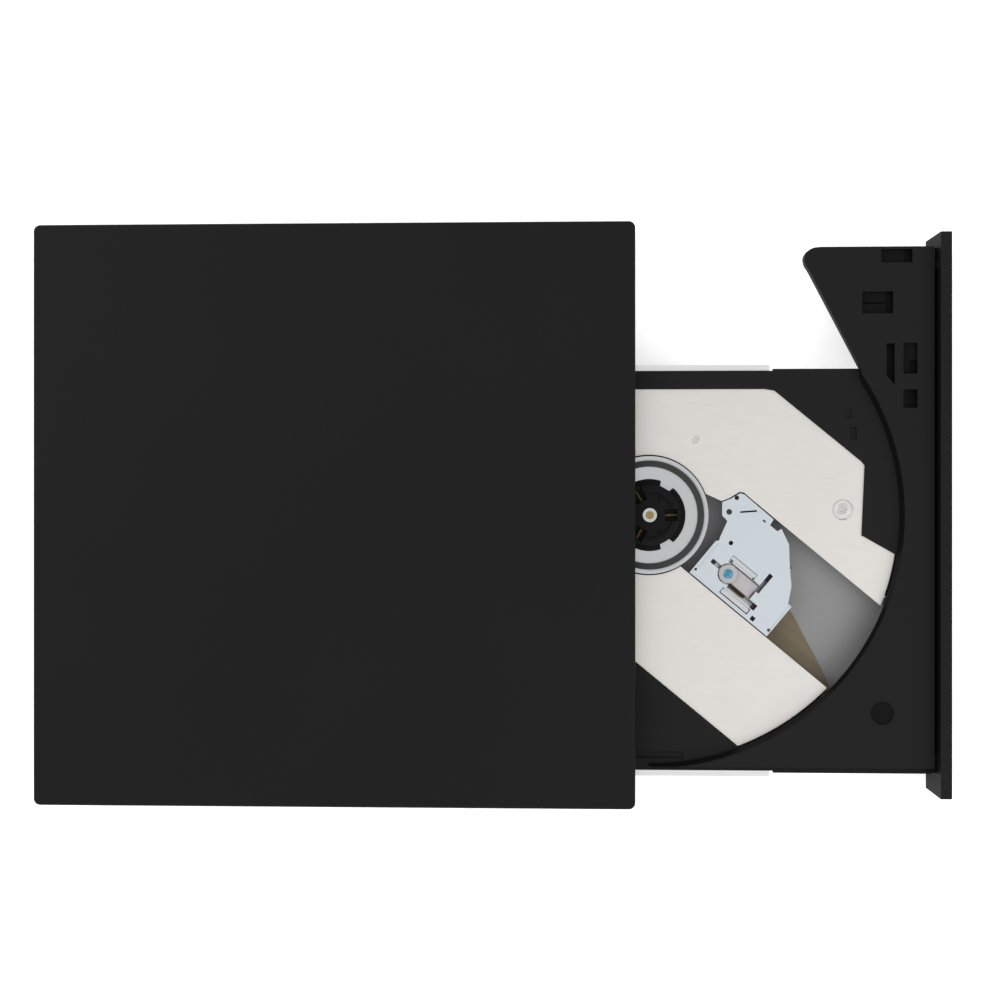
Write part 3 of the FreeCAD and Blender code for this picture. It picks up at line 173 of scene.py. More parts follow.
# %% Shader building blocks
class Finish:
    """One material: its shader, and short ways to add a pattern to it."""

    def __init__(self, name, colour, roughness, metallic=0.0, specular=0.5):
        self.material = bpy.data.materials.new(name)
        self.material.use_nodes = True
        self.nodes = self.material.node_tree.nodes
        self.links = self.material.node_tree.links
        self.shader = self.nodes["Principled BSDF"]
        self.colour = colour
        self.shader.inputs["Base Color"].default_value = (*colour, 1)
        self.shader.inputs["Roughness"].default_value = roughness
        self.shader.inputs["Metallic"].default_value = metallic
        self.shader.inputs["Specular IOR Level"].default_value = specular
        self.material.diffuse_color = (*colour, 1)
        self.place = self.nodes.new("ShaderNodeTexCoord").outputs["Object"]

    def mapped(self, scale=(1, 1, 1), centre=(0, 0, 0), angle=0.0):
        """Object coordinates about a centre, turned about Z and stretched."""
        shift = self.nodes.new("ShaderNodeMapping")
        shift.inputs["Location"].default_value = (-centre[0], -centre[1], -centre[2])
        self.links.new(self.place, shift.inputs["Vector"])
        spun = self.nodes.new("ShaderNodeMapping")
        spun.inputs["Rotation"].default_value = (0, 0, -angle)
        self.links.new(shift.outputs["Vector"], spun.inputs["Vector"])
        sized = self.nodes.new("ShaderNodeMapping")
        sized.inputs["Scale"].default_value = scale
        self.links.new(spun.outputs["Vector"], sized.inputs["Vector"])
        return sized.outputs["Vector"]

    def noise(self, size, vector=None, detail=3.0, roughness=0.5):
        """Smooth noise with features of a given size in metres."""
        item = self.nodes.new("ShaderNodeTexNoise")
        item.inputs["Scale"].default_value = 1 / size
        item.inputs["Detail"].default_value = detail
        item.inputs["Roughness"].default_value = roughness
        self.links.new(vector or self.place, item.inputs["Vector"])
        return item.outputs["Fac"]

    def ranged(self, value, low, high, source=(0.3, 0.7)):
        """Carry a pattern from its own range to another."""
        item = self.nodes.new("ShaderNodeMapRange")
        item.inputs["From Min"].default_value = source[0]
        item.inputs["From Max"].default_value = source[1]
        item.inputs["To Min"].default_value = low
        item.inputs["To Max"].default_value = high
        self.links.new(value, item.inputs["Value"])
        return item.outputs["Result"]

    def sums(self, kind, first, second):
        item = self.nodes.new("ShaderNodeMath")
        item.operation = kind
        for socket, value in zip(item.inputs, (first, second)):
            if isinstance(value, (int, float)):
                socket.default_value = value
            else:
                self.links.new(value, socket)
        return item.outputs["Value"]

    def banded(self, steps):
        """One tone for each height: (metres, share of the colour) steps read from the lowest up."""
        item = self.nodes.new("ShaderNodeSeparateXYZ")
        self.links.new(self.nodes.new("ShaderNodeTexCoord").outputs["Object"], item.inputs["Vector"])
        tone = None
        for height, share in steps:
            passed = self.sums("GREATER_THAN", item.outputs["Z"], height)
            gain = self.sums("MULTIPLY", passed, share)
            tone = gain if tone is None else self.sums("ADD", tone, gain)
        return tone

    def shade(self, factor, dark, light):
        """Vary the colour between two tones of itself, or between two given colours."""
        item = self.nodes.new("ShaderNodeMix")
        item.data_type = "RGBA"
        self.links.new(factor, item.inputs["Factor"])
        for socket, tone in ((item.inputs["A"], dark), (item.inputs["B"], light)):
            if isinstance(tone, (int, float)):
                socket.default_value = (*[part * tone for part in self.colour], 1)
            elif isinstance(tone, tuple):
                socket.default_value = (*tone, 1)
            else:
                self.links.new(tone, socket)
        return item.outputs["Result"]

    def paint(self, colour):
        self.links.new(colour, self.shader.inputs["Base Color"])
        return self

    def gloss(self, value):
        self.links.new(value, self.shader.inputs["Roughness"])
        return self

    def relief(self, value, depth, strength=1.0):
        """Raise the surface by a pattern, depth in metres."""
        item = self.nodes.new("ShaderNodeBump")
        item.inputs["Distance"].default_value = depth
        item.inputs["Strength"].default_value = strength
        self.links.new(value, item.inputs["Height"])
        self.links.new(item.outputs["Normal"], self.shader.inputs["Normal"])
        return self


def dress(finish, *names):
    """Put a finish on solid parts."""
    for name in names:
        mesh = nodes[name].data
        mesh.materials.clear()
        mesh.materials.append(finish.material)


def wear(piece, finish):
    piece.data.materials.clear()
    piece.data.materials.append(finish.material)


# %% [markdown]
# The floor is bright matt board. It glows a little, as paper on a light table does, so it stays white.

# %% Floor finish
floor_board = Finish("white_board", (0.93, 0.93, 0.93), 0.9, specular=0.1)
floor_board.paint(floor_board.shade(floor_board.noise(0.3), 0.99, 1.0))
floor_board.shader.inputs["Emission Color"].default_value = (1, 1, 1, 1)
floor_board.shader.inputs["Emission Strength"].default_value = 0.42
wear(floor, floor_board)


# %% [markdown]
# The case, the front panel and the tray are moulded in black plastic with a spark-eroded grain: a fine
# even bump that breaks the reflection up. A slow change of tone keeps the wide flat top from looking
# painted in one stroke.

# %% Black mouldings
def moulding(name, tone, roughness, grain, depth, specular):
    """Black plastic with a moulded grain of the given size."""
    finish = Finish(name, tone, roughness, specular=specular)
    fine = finish.noise(grain, detail=4.0)
    broad = finish.noise(0.05, detail=2.0)
    finish.paint(finish.shade(broad, 0.88, 1.12))
    finish.gloss(finish.ranged(fine, roughness - 0.05, roughness + 0.06))
    return finish.relief(fine, depth, 0.6)


def painted_shade_below(finish, steps):
    """Paint shade into a colour at the heights that the walls of pockets and steps take up."""
    painted = finish.shader.inputs["Base Color"].links[0].from_socket
    tone = finish.nodes.new("ShaderNodeVectorMath")
    tone.operation = "SCALE"
    finish.links.new(painted, tone.inputs[0])
    finish.links.new(finish.banded(steps), tone.inputs["Scale"])
    finish.links.new(tone.outputs["Vector"], finish.shader.inputs["Base Color"])


case_black = moulding("case_black", (0.0068, 0.0068, 0.0070), 0.50, 0.00022, 0.000012, 0.10)
panel_black = moulding("panel_black", (0.0105, 0.0105, 0.0108), 0.55, 0.00022, 0.000012, 0.06)
tray_black = moulding("tray_black", (0.0105, 0.0105, 0.0108), 0.55, 0.00030, 0.000016, 0.07)
well_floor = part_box("traverse_cover")[1].z + 0.6 * MM
tray_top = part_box("tray")[1].z
# Painted shade: the tray's well walls, from just above the well floor to just under the top, go to 0.35 of the
# colour, and all below the laser cover's underside goes to 0.3.
painted_shade_below(tray_black, [(-1.0, 0.30), (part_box("traverse_cover")[0].z - 0.1 * MM, 0.70),
                          (well_floor + 0.15 * MM, -0.65), (tray_top - 0.25 * MM, 0.65)])
# Painted shade: the front panel's side and end faces below its top go to 0.45 of the colour.
painted_shade_below(panel_black, [(-1.0, 0.45), (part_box("bezel")[1].z - 0.4 * MM, 0.55)])
print("tray walls run from", round(well_floor / MM, 2), "to", round(tray_top / MM, 2), "mm")
dress(case_black, "top_cover", "bottom_cover")
dress(panel_black, "bezel", "eject_button")
dress(tray_black, "tray")

# %% [markdown]
# Small working parts inside are acetal or nylon. Black ones are a little glossier than the case, and
# natural ones are milky white.

# %% Working plastics
black_acetal = moulding("black_acetal", (0.012, 0.012, 0.012), 0.35, 0.00015, 0.000006, 0.4)
natural_acetal = moulding("natural_acetal", (0.62, 0.61, 0.57), 0.45, 0.0002, 0.000006, 0.4)
hub_black = moulding("hub_black", (0.0055, 0.0050, 0.0052), 0.50, 0.0002, 0.000008, 0.08)
dress(black_acetal, "rack_follower", "pusher_barrel", "usb_socket_tongue", "sata_receptacle", "sata_plug")
holder_grey = moulding("holder_grey", (0.36, 0.35, 0.36), 0.40, 0.0002, 0.000006, 0.4)
dress(holder_grey, "lens_holder")
dress(natural_acetal, "rail_guide_left", "rail_guide_right", "latch_lever", "eject_pusher")
dress(hub_black, "clamp_hub", "clamp_claw_1", "clamp_claw_2", "clamp_claw_3")


# %% [markdown]
# Sheet metal shows how it was rolled. Noise stretched hard along one direction gives fine parallel
# lines, and they go into both the gloss and the relief.

# %% Rolled and brushed sheet
def brushed(name, colour, roughness, line, length, angle=0.0, contrast=0.06, depth=0.000004):
    """Metal with fine lines along one direction of the sheet."""
    finish = Finish(name, colour, roughness, metallic=1.0)
    stretched = finish.mapped(scale=(line / length, 1, 1), angle=angle)
    lines = finish.noise(line, stretched, detail=5.0, roughness=0.65)
    cloud = finish.noise(0.02, detail=2.0)
    both = finish.sums("ADD", finish.sums("MULTIPLY", lines, 0.7), finish.sums("MULTIPLY", cloud, 0.3))
    finish.paint(finish.shade(both, 1.0 - contrast, 1.0 + contrast))
    finish.gloss(finish.ranged(lines, roughness - 0.08, roughness + 0.08))
    return finish.relief(lines, depth, 0.5)


cover_sheet = brushed("cover_sheet", (0.70, 0.68, 0.65), 0.45, 0.00018, 0.004)
rail_steel = brushed("rail_steel", (0.86, 0.86, 0.86), 0.30, 0.00012, 0.02)
bright_steel = brushed("bright_steel", (0.66, 0.67, 0.68), 0.32, 0.00012, 0.003)
motor_plate = brushed("motor_plate", (0.52, 0.52, 0.53), 0.40, 0.00015, 0.003)
dress(cover_sheet, "traverse_cover")
dress(rail_steel, "slide_rail_left", "slide_rail_right")
dress(bright_steel, "cover_screws", "chassis_screws", "damper_screws", "latch_post", "latch_pivot_pin",
      "solenoid_plunger", "lead_screw_bracket", "lead_screw", "usb_socket_shell", "eject_spring",
      "actuator_yoke", "sled_motor")
dress(motor_plate, "spindle_base")


# %% [markdown]
# The drive's own pan and lid are zinc-coated steel. The zinc freezes into faint crystals, which a cell
# pattern gives, each with its own slight change of tone.

# %% Zinc-coated sheet
def zinc(name):
    finish = Finish(name, (0.56, 0.57, 0.58), 0.42, metallic=1.0)
    cells = finish.nodes.new("ShaderNodeTexVoronoi")
    cells.inputs["Scale"].default_value = 1 / 0.004
    finish.links.new(finish.place, cells.inputs["Vector"])
    grey = finish.nodes.new("ShaderNodeRGBToBW")
    finish.links.new(cells.outputs["Color"], grey.inputs["Color"])
    finish.paint(finish.shade(grey.outputs["Val"], 0.92, 1.06))
    finish.gloss(finish.ranged(grey.outputs["Val"], 0.36, 0.5, (0, 1)))
    return finish.relief(finish.noise(0.0005), 0.000003, 0.5)


zinc_sheet = zinc("zinc_sheet")
dress(zinc_sheet, "drive_base_pan", "drive_top_plate", "tray_bottom_cover")

# %% [markdown]
# The frame under the laser is coated grey, a dull even film over the steel.

# %% Grey coated frame
frame_grey = Finish("frame_grey", (0.245, 0.245, 0.25), 0.5, metallic=0.3)
frame_cloud = frame_grey.noise(0.006, detail=4.0)
frame_grey.paint(frame_grey.shade(frame_cloud, 0.95, 1.05))
frame_grey.gloss(frame_grey.ranged(frame_cloud, 0.45, 0.58))
frame_grey.relief(frame_grey.noise(0.0003), 0.000006, 0.4)
dress(frame_grey, "traverse_frame")


# %% [markdown]
# The turntable and the guide rods are turned or ground on a lathe, which leaves rings about their axis.
# The distance from the axis drives a one-dimensional noise, so every ring is whole.

# %% Turned metal
def turned(name, colour, roughness, centre, ring=0.00015):
    """Metal with lathe rings about an upright axis."""
    finish = Finish(name, colour, roughness, metallic=1.0)
    flat = finish.mapped(scale=(1, 1, 0), centre=centre)
    length = finish.nodes.new("ShaderNodeVectorMath")
    length.operation = "LENGTH"
    finish.links.new(flat, length.inputs[0])
    rings = finish.nodes.new("ShaderNodeTexNoise")
    rings.noise_dimensions = "1D"
    rings.inputs["Scale"].default_value = 1 / ring
    rings.inputs["Detail"].default_value = 2.0
    finish.links.new(length.outputs["Value"], rings.inputs["W"])
    finish.paint(finish.shade(rings.outputs["Fac"], 0.94, 1.05))
    finish.gloss(finish.ranged(rings.outputs["Fac"], roughness - 0.07, roughness + 0.08))
    return finish.relief(rings.outputs["Fac"], 0.000004, 0.5)


turntable_metal = turned("turntable_metal", (0.60, 0.62, 0.625), 0.28, SPINDLE)
shaft_bronze = turned("shaft_bronze", (0.33, 0.25, 0.09), 0.35, SPINDLE, 0.0001)
ground_rod = brushed("ground_rod", (0.80, 0.80, 0.81), 0.14, 0.00008, 0.0006, TRAVEL_ANGLE + math.pi / 2)
sintered_bronze = turned("sintered_bronze", (0.50, 0.35, 0.16), 0.5, SPINDLE, 0.0002)
dress(turntable_metal, "turntable")
dress(shaft_bronze, "spindle_shaft")
dress(ground_rod, "main_guide_rod", "sub_guide_rod")
dress(sintered_bronze, "spindle_bearing")


# %% [markdown]
# Rubber is nearly matt and slightly dusty. The ring that grips the disc is a dark grey, and the feet
# and dampers are black.

# %% Rubber
def rubber(name, colour):
    finish = Finish(name, colour, 0.75, specular=0.25)
    speckle = finish.noise(0.00025, detail=5.0)
    finish.paint(finish.shade(speckle, 0.85, 1.15))
    finish.gloss(finish.ranged(speckle, 0.68, 0.85))
    return finish.relief(speckle, 0.00002, 0.5)


pad_rubber = rubber("pad_rubber", (0.030, 0.032, 0.031))
foot_rubber = rubber("foot_rubber", (0.012, 0.012, 0.012))
dress(pad_rubber, "turntable_pad")
dress(foot_rubber, "rubber_feet", "damper_grommets")


# %% [markdown]
# A printed board is green lacquer over copper, with the tracks standing just proud, and black chips on
# top. Height tells the two apart: whatever is above the board's face is a chip.

# %% Printed boards
def circuit(name, node, face):
    """Green board with tracks below the height face, black packages above it."""
    finish = Finish(name, (0.010, 0.085, 0.035), 0.35, specular=0.5)
    split = finish.nodes.new("ShaderNodeSeparateXYZ")
    finish.links.new(finish.place, split.inputs["Vector"])
    above = finish.sums("GREATER_THAN", split.outputs["Z"], face)
    bricks = finish.nodes.new("ShaderNodeTexBrick")
    bricks.inputs["Scale"].default_value = 1 / 0.004
    bricks.inputs["Mortar Size"].default_value = 0.03
    bricks.inputs["Color1"].default_value = (0.010, 0.085, 0.035, 1)
    bricks.inputs["Color2"].default_value = (0.012, 0.100, 0.042, 1)
    bricks.inputs["Mortar"].default_value = (0.030, 0.190, 0.085, 1)
    finish.links.new(finish.place, bricks.inputs["Vector"])
    finish.paint(finish.shade(above, bricks.outputs["Color"], (0.012, 0.012, 0.013)))
    finish.relief(bricks.outputs["Fac"], 0.00002, 0.4)
    dress(finish, node)
    return finish


BOARD = 0.8 * MM
for board_node in ("main_board", "adapter_board"):
    circuit(board_node + "_finish", board_node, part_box(board_node)[0].z + BOARD + 0.02 * MM)
circuit("tray_board_finish", "tray_board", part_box("tray_board")[0].z + 0.62 * MM)

# %% [markdown]
# Windings are enamelled copper wire, laid in close rows.

# %% Copper windings and small brass parts
def windings(name, colour):
    finish = Finish(name, colour, 0.3, metallic=0.9)
    rows = finish.nodes.new("ShaderNodeTexWave")
    rows.bands_direction = "Z"
    rows.inputs["Scale"].default_value = 1 / 0.0006
    finish.links.new(finish.place, rows.inputs["Vector"])
    finish.paint(finish.shade(rows.outputs["Fac"], 0.6, 1.1))
    return finish.relief(rows.outputs["Fac"], 0.00004, 0.8)


copper_wire = windings("copper_wire", (0.55, 0.24, 0.10))
dress(copper_wire, "spindle_stator", "latch_solenoid")
# Bronze darkened to about a third: the metal's own colour with painted shade laid over it, for springs sunk in
# the hub's slots. The lens's suspension wires wear it too.
spring_bronze = brushed("spring_bronze", (0.20, 0.14, 0.05), 0.35, 0.0001, 0.0008)
gold_can = brushed("gold_can", (0.75, 0.60, 0.30), 0.25, 0.0001, 0.002)
black_screw = brushed("black_screw", (0.06, 0.06, 0.062), 0.4, 0.0001, 0.001)
dress(gold_can, "laser_diode")
dress(black_screw, "case_screws")
blackened = brushed("blackened_casting", (0.05, 0.05, 0.055), 0.5, 0.0003, 0.0006)
dress(blackened, "pickup_base")

# %% [markdown]
# The laser's lens is moulded glass with a blue anti-reflection coat, and the lamp's light pipe is clear
# acrylic. Both get a faint ripple so that their highlights are not perfect.

# %% Lens and light pipe
lens_glass = Finish("lens_glass", (0.020, 0.185, 0.300), 0.10, specular=0.5)
lens_ripple = lens_glass.noise(0.0006)
lens_glass.paint(lens_glass.shade(lens_ripple, 0.7, 1.25))
lens_glass.relief(lens_ripple, 0.00001, 0.3)
lens_glass.shader.inputs["Coat Weight"].default_value = 0.5
lens_glass.shader.inputs["Coat Roughness"].default_value = 0.03
clear_acrylic = Finish("clear_acrylic", (0.85, 0.92, 0.86), 0.12, specular=0.6)
clear_acrylic.paint(clear_acrylic.shade(clear_acrylic.noise(0.001), 0.95, 1.0))
clear_acrylic.shader.inputs["Transmission Weight"].default_value = 0.7
dress(lens_glass, "objective_lens")
dress(clear_acrylic, "light_pipe")

# %% [markdown]
# The flat cable from the main board to the tray is white film over parallel tinned strips. A wave across
# its width gives the strips, because they run its whole length.

# %% Ribbon cable
ribbon_white = Finish("ribbon_white", (0.72, 0.72, 0.70), 0.4, specular=0.4)
ribbon_lines = ribbon_white.nodes.new("ShaderNodeTexWave")
ribbon_lines.bands_direction = "Y"
ribbon_lines.inputs["Scale"].default_value = 1 / 0.003
ribbon_white.links.new(ribbon_white.place, ribbon_lines.inputs["Vector"])
ribbon_white.paint(ribbon_white.shade(ribbon_lines.outputs["Fac"], 0.8, 1.05))
ribbon_white.relief(ribbon_lines.outputs["Fac"], 0.00003, 0.5)
dress(ribbon_white, "flat_cable")

cover_tin = brushed("cover_tin", (0.60, 0.65, 0.69), 0.42, 0.0002, 0.001, TRAVEL_ANGLE, contrast=0.03)
dress(cover_tin, "pickup_cover")
dress(spring_bronze, "claw_springs")

# %% [markdown]
# Small pieces are made where they are easy to draw, round the origin and along X, and are then carried
# to their place. Their object ends at the origin, unturned, with its place in its mesh.

# %% Helpers for carrying and finishing pieces
def choose(piece):
    """Make one piece the only selected and the active one."""
    clear_selection()
    piece.select_set(True)
    bpy.context.view_layer.objects.active = piece


def carry(piece, place=(0, 0, 0), angle=0.0):
    """Turn a piece about Z, move it to its place and settle both into its mesh."""
    choose(piece)
    piece.rotation_euler = (0, 0, angle)
    piece.location = place
    bpy.ops.object.transform_apply(location=True, rotation=True, scale=True)


def copied(piece, name):
    """A copy with its own mesh."""
    twin = piece.copy()
    twin.data = piece.data.copy()
    twin.name = name
    bpy.context.scene.collection.objects.link(twin)
    return twin


def joined(pieces, name):
    """Several objects made into one."""
    clear_selection()
    for piece in pieces:
        piece.select_set(True)
    bpy.context.view_layer.objects.active = pieces[0]
    bpy.ops.object.join()
    pieces[0].name = name
    return pieces[0]


def smooth(piece, degrees=35):
    choose(piece)
    bpy.ops.object.shade_smooth_by_angle(angle=math.radians(degrees))


def pick_faces(piece, wanted):
    """Go into edit mode with only the faces selected that a test accepts."""
    bpy.ops.object.mode_set(mode="EDIT")
    bpy.ops.mesh.select_mode(type="FACE")
    bpy.ops.mesh.select_all(action="DESELECT")
    bpy.ops.object.mode_set(mode="OBJECT")
    for face in piece.data.polygons:
        face.select = wanted(face.normal)
    bpy.ops.object.mode_set(mode="EDIT")


def reach(node, direction):
    """How far a solid part reaches along a direction: its lowest and highest place."""
    places = [vertex.co.dot(direction) for vertex in nodes[node].data.vertices]
    return min(places), max(places)


def in_slot(along, across, height):
    """A place given in the laser's own directions, in millimetres from the disc axis."""
    side = Vector((-TRAVEL.y, TRAVEL.x, 0))
    return Vector((SPINDLE.x, SPINDLE.y, 0)) + TRAVEL * along * MM + side * across * MM + Vector((0, 0, height))


# %% [markdown]
# A coil spring is a small circle carried round an axis while it moves along it. Blender's Screw
# modifier does exactly that. Its two ends are left open, so the holes are filled afterwards.

# %% Coil springs
def coil(name, coil_radius, wire_radius, length, turns, steps=16, sides=8):
    """A helical spring along X from the origin."""
    clear_selection()
    bpy.ops.mesh.primitive_circle_add(vertices=sides, radius=wire_radius, location=(0, 0, coil_radius),
                                      rotation=(math.pi / 2, 0, 0))
    spring = added(name)
    bpy.ops.object.transform_apply(location=True, rotation=True, scale=True)
    wind = spring.modifiers.new("wind", "SCREW")
    wind.axis = "X"
    wind.screw_offset = length / turns
    wind.iterations = turns
    wind.steps = steps
    wind.render_steps = steps
    bpy.ops.object.modifier_apply(modifier="wind")
    bpy.ops.object.mode_set(mode="EDIT")
    bpy.ops.mesh.select_all(action="SELECT")
    bpy.ops.mesh.remove_doubles(threshold=1e-7)
    bpy.ops.mesh.fill_holes(sides=0)
    bpy.ops.mesh.select_all(action="SELECT")
    bpy.ops.mesh.normals_make_consistent(inside=False)
    bpy.ops.object.mode_set(mode="OBJECT")
    smooth(spring, 50)
    return spring


hub_radius = 7.4 * MM
spring_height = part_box("claw_springs")[0].z + 0.52 * MM
first_coil = coil("claw_coil", 0.40 * MM, 0.085 * MM, 2.9 * MM, 7)
coils = []
for number, degrees in enumerate((0, 120, 240)):
    turned_to = math.radians(degrees)
    spring = copied(first_coil, f"claw_coil_{number + 1}")
    reach_out = Vector((math.cos(turned_to), math.sin(turned_to), 0)) * (hub_radius - 3.65 * MM)
    carry(spring, (SPINDLE.x + reach_out.x, SPINDLE.y + reach_out.y, spring_height), turned_to)
    coils.append(spring)
bpy.data.objects.remove(first_coil)
claw_coils = joined(coils, "claw_coils")
wear(claw_coils, spring_bronze)
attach(claw_coils, "rotor")
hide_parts("claw_springs")
print("hub springs:", len(claw_coils.data.polygons), "faces")

# %% [markdown]
# The spring that pushes the tray out sits in a barrel behind a plastic pin, and shortens when the pin
# is pushed in.

# %% Eject spring
low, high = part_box("eject_spring")
eject_coil = coil("eject_coil", 0.95 * MM, 0.14 * MM, high.x - low.x, 11)
carry(eject_coil, (low.x, (low.y + high.y) / 2, (low.z + high.z) / 2))
wear(eject_coil, bright_steel)
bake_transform(eject_coil)
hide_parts("eject_spring")
print("eject spring is", round((high.x - low.x) / MM, 1), "mm long")

# %% [markdown]
# The screw that drives the laser has one rolled thread, three millimetres to a turn. The thread is a
# coil too, half sunk into a plain core whose ends are chamfered.

# %% Lead screw
turn_axis = Vector(joints["lead_screw_turn"]["axis"]).normalized()
turn_place = Vector(joints["lead_screw_turn"]["pos_m"])
start, stop = reach("lead_screw", turn_axis)
screw_start = turn_place + turn_axis * (start - turn_place.dot(turn_axis))
screw_length = stop - start
clear_selection()
bpy.ops.mesh.primitive_cylinder_add(vertices=24, radius=0.70 * MM, depth=screw_length,
                                    location=(screw_length / 2, 0, 0), rotation=(0, math.pi / 2, 0))
core = added("screw_core")
bpy.ops.object.transform_apply(location=True, rotation=True, scale=True)
chamfer = core.modifiers.new("chamfer", "BEVEL")
chamfer.width = 0.12 * MM
chamfer.segments = 1
chamfer.limit_method = "ANGLE"
bpy.ops.object.modifier_apply(modifier="chamfer")
thread = coil("screw_thread", 0.72 * MM, 0.17 * MM, 54.0 * MM, 18, steps=24, sides=6)
carry(thread, (2.9 * MM, 0, 0))
lead = joined([core, thread], "lead_screw_thread")
smooth(lead, 40)
carry(lead, screw_start, math.atan2(turn_axis.y, turn_axis.x))
wear(lead, bright_steel)
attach(lead, "screw")
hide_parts("lead_screw")
print("lead screw is", round(screw_length / MM, 1), "mm long with 18 turns of thread")

# %% [markdown]
# The laser's ribbon is a strip of olive-brown film that lies on the frame and runs under the pickup.
# It is made as it lies: one short edge is pulled out again and again, turning a little each time. The
# Solidify modifier then gives the film its thickness.

# %% Laser ribbon
def film(name, width, steps, thickness):
    """A strip along X whose edge is pulled out by each (distance, degrees) step."""
    clear_selection()
    bpy.ops.mesh.primitive_plane_add(size=1)
    strip = added(name)
    first = steps[0][0]
    strip.scale = (first, width, 1)
    strip.location = (first / 2, 0, 0)
    bpy.ops.object.transform_apply(location=True, rotation=True, scale=True)
    centre = Vector((first, 0, 0))
    heading = 0.0
    bpy.ops.object.mode_set(mode="EDIT")
    bpy.ops.mesh.select_mode(type="EDGE")
    bpy.ops.mesh.select_all(action="DESELECT")
    bpy.ops.object.mode_set(mode="OBJECT")
    for edge in strip.data.edges:
        ends = [strip.data.vertices[index].co for index in edge.vertices]
        edge.select = all(abs(end.x - first) < 1e-6 for end in ends)
    bpy.ops.object.mode_set(mode="EDIT")
    for distance, degrees in steps[1:]:
        heading += math.radians(degrees)
        move = Vector((math.cos(heading), math.sin(heading), 0)) * distance
        bpy.ops.mesh.extrude_region_move(TRANSFORM_OT_translate={"value": move})
        centre += move
        bpy.ops.transform.rotate(value=-math.radians(degrees), orient_axis="Z", center_override=centre)
    bpy.ops.mesh.select_all(action="SELECT")
    bpy.ops.mesh.normals_make_consistent(inside=False)
    bpy.ops.object.mode_set(mode="OBJECT")
    body = strip.modifiers.new("film", "SOLIDIFY")
    body.thickness = thickness
    body.offset = 0
    bpy.ops.object.modifier_apply(modifier="film")
    return strip


ribbon = film("laser_ribbon", 11.0 * MM, [(6.4 * MM, 0)] + [(0.9 * MM, -8.5)] * 3 + [(2.6 * MM, 1.5)] * 3
              + [(2.6 * MM, -1.5)] * 4, 0.12 * MM)
frame_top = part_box("spindle_base")[0].z
carry(ribbon, in_slot(34.0, -1.2, frame_top + 0.10 * MM), TRAVEL_ANGLE)
ribbon_film = Finish("ribbon_film", (0.150, 0.118, 0.066), 0.32, specular=0.5)
ribbon_tracks = ribbon_film.nodes.new("ShaderNodeTexWave")
ribbon_tracks.bands_direction = "Y"
ribbon_tracks.inputs["Scale"].default_value = 1 / 0.009
ribbon_tracks.inputs["Distortion"].default_value = 0.6
ribbon_film.links.new(ribbon_film.mapped(angle=TRAVEL_ANGLE), ribbon_tracks.inputs["Vector"])
ribbon_film.paint(ribbon_film.shade(ribbon_tracks.outputs["Fac"], 0.95, 1.05))
ribbon_film.gloss(ribbon_film.ranged(ribbon_film.noise(0.004), 0.28, 0.42))
wear(ribbon, ribbon_film)
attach(ribbon, "tray")
print("laser ribbon spans", [round(value / MM, 1) for value in ribbon.dimensions])

# %% [markdown]
# The lens hangs on four hair-thin bronze wires, two above two, that run beside it to the far end of the
# pickup. They bend when it focuses.

# %% Suspension wires
holder_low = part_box("lens_holder")[0]
wires = []
for side_place in (-0.55, 3.72):
    for level in (0.9, 1.7):
        clear_selection()
        bpy.ops.mesh.primitive_cylinder_add(vertices=8, radius=0.06 * MM, depth=8.6 * MM,
                                            location=(4.3 * MM, 0, 0), rotation=(0, math.pi / 2, 0))
        wire = added("wire")
        bpy.ops.object.transform_apply(location=True, rotation=True, scale=True)
        bpy.ops.object.mode_set(mode="EDIT")
        for cut_place in (2.15, 4.3, 6.45):
            bpy.ops.mesh.select_all(action="SELECT")
            bpy.ops.mesh.bisect(plane_co=(cut_place * MM, 0, 0), plane_no=(1, 0, 0))
        bpy.ops.object.mode_set(mode="OBJECT")
        carry(wire, in_slot(24.9, side_place, holder_low.z + level * MM), TRAVEL_ANGLE)
        wires.append(wire)
suspension = joined(wires, "suspension_wires")
wear(suspension, spring_bronze)
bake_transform(suspension)
print("suspension wires:", len(wires))

# %% [markdown]
# The cover screws have a low domed head and a cross recess. A cylinder's top edge is rounded with a
# bevel, and two crossed wedges are taken out of it with a boolean.

# %% Cover screws
def cross_screw(name, head_radius, head_height, shank_radius, shank_length):
    """A pan-head screw with its seat at the origin, pointing down."""
    clear_selection()
    bpy.ops.mesh.primitive_cylinder_add(vertices=48, radius=head_radius, depth=head_height,
                                        location=(0, 0, head_height / 2))
    head = added(name)
    bpy.ops.object.transform_apply(location=True, rotation=True, scale=True)
    pick_faces(head, lambda normal: normal.z > 0.9)
    bpy.ops.mesh.bevel(offset=head_height * 0.55, segments=4, affect="EDGES")
    pick_faces(head, lambda normal: normal.z < -0.9)
    bpy.ops.mesh.inset(thickness=head_radius - shank_radius)
    bpy.ops.mesh.extrude_region_move(TRANSFORM_OT_translate={"value": (0, 0, -shank_length)})
    bpy.ops.object.mode_set(mode="OBJECT")
    wedges = []
    for quarter in (0, 1):
        clear_selection()
        bpy.ops.mesh.primitive_cube_add(size=1, location=(0, 0, head_height * 0.75),
                                        rotation=(0, 0, quarter * math.pi / 2 + math.radians(25)))
        wedge = added("wedge")
        wedge.scale = (head_radius * 1.20, head_radius * 0.34, head_height * 1.3)
        bpy.ops.object.transform_apply(location=True, rotation=True, scale=True)
        wedges.append(wedge)
    for wedge in wedges:
        choose(head)
        take = head.modifiers.new("recess", "BOOLEAN")
        take.operation = "DIFFERENCE"
        take.solver = "EXACT"
        take.object = wedge
        bpy.ops.object.modifier_apply(modifier="recess")
        bpy.data.objects.remove(wedge)
    smooth(head, 30)
    return head


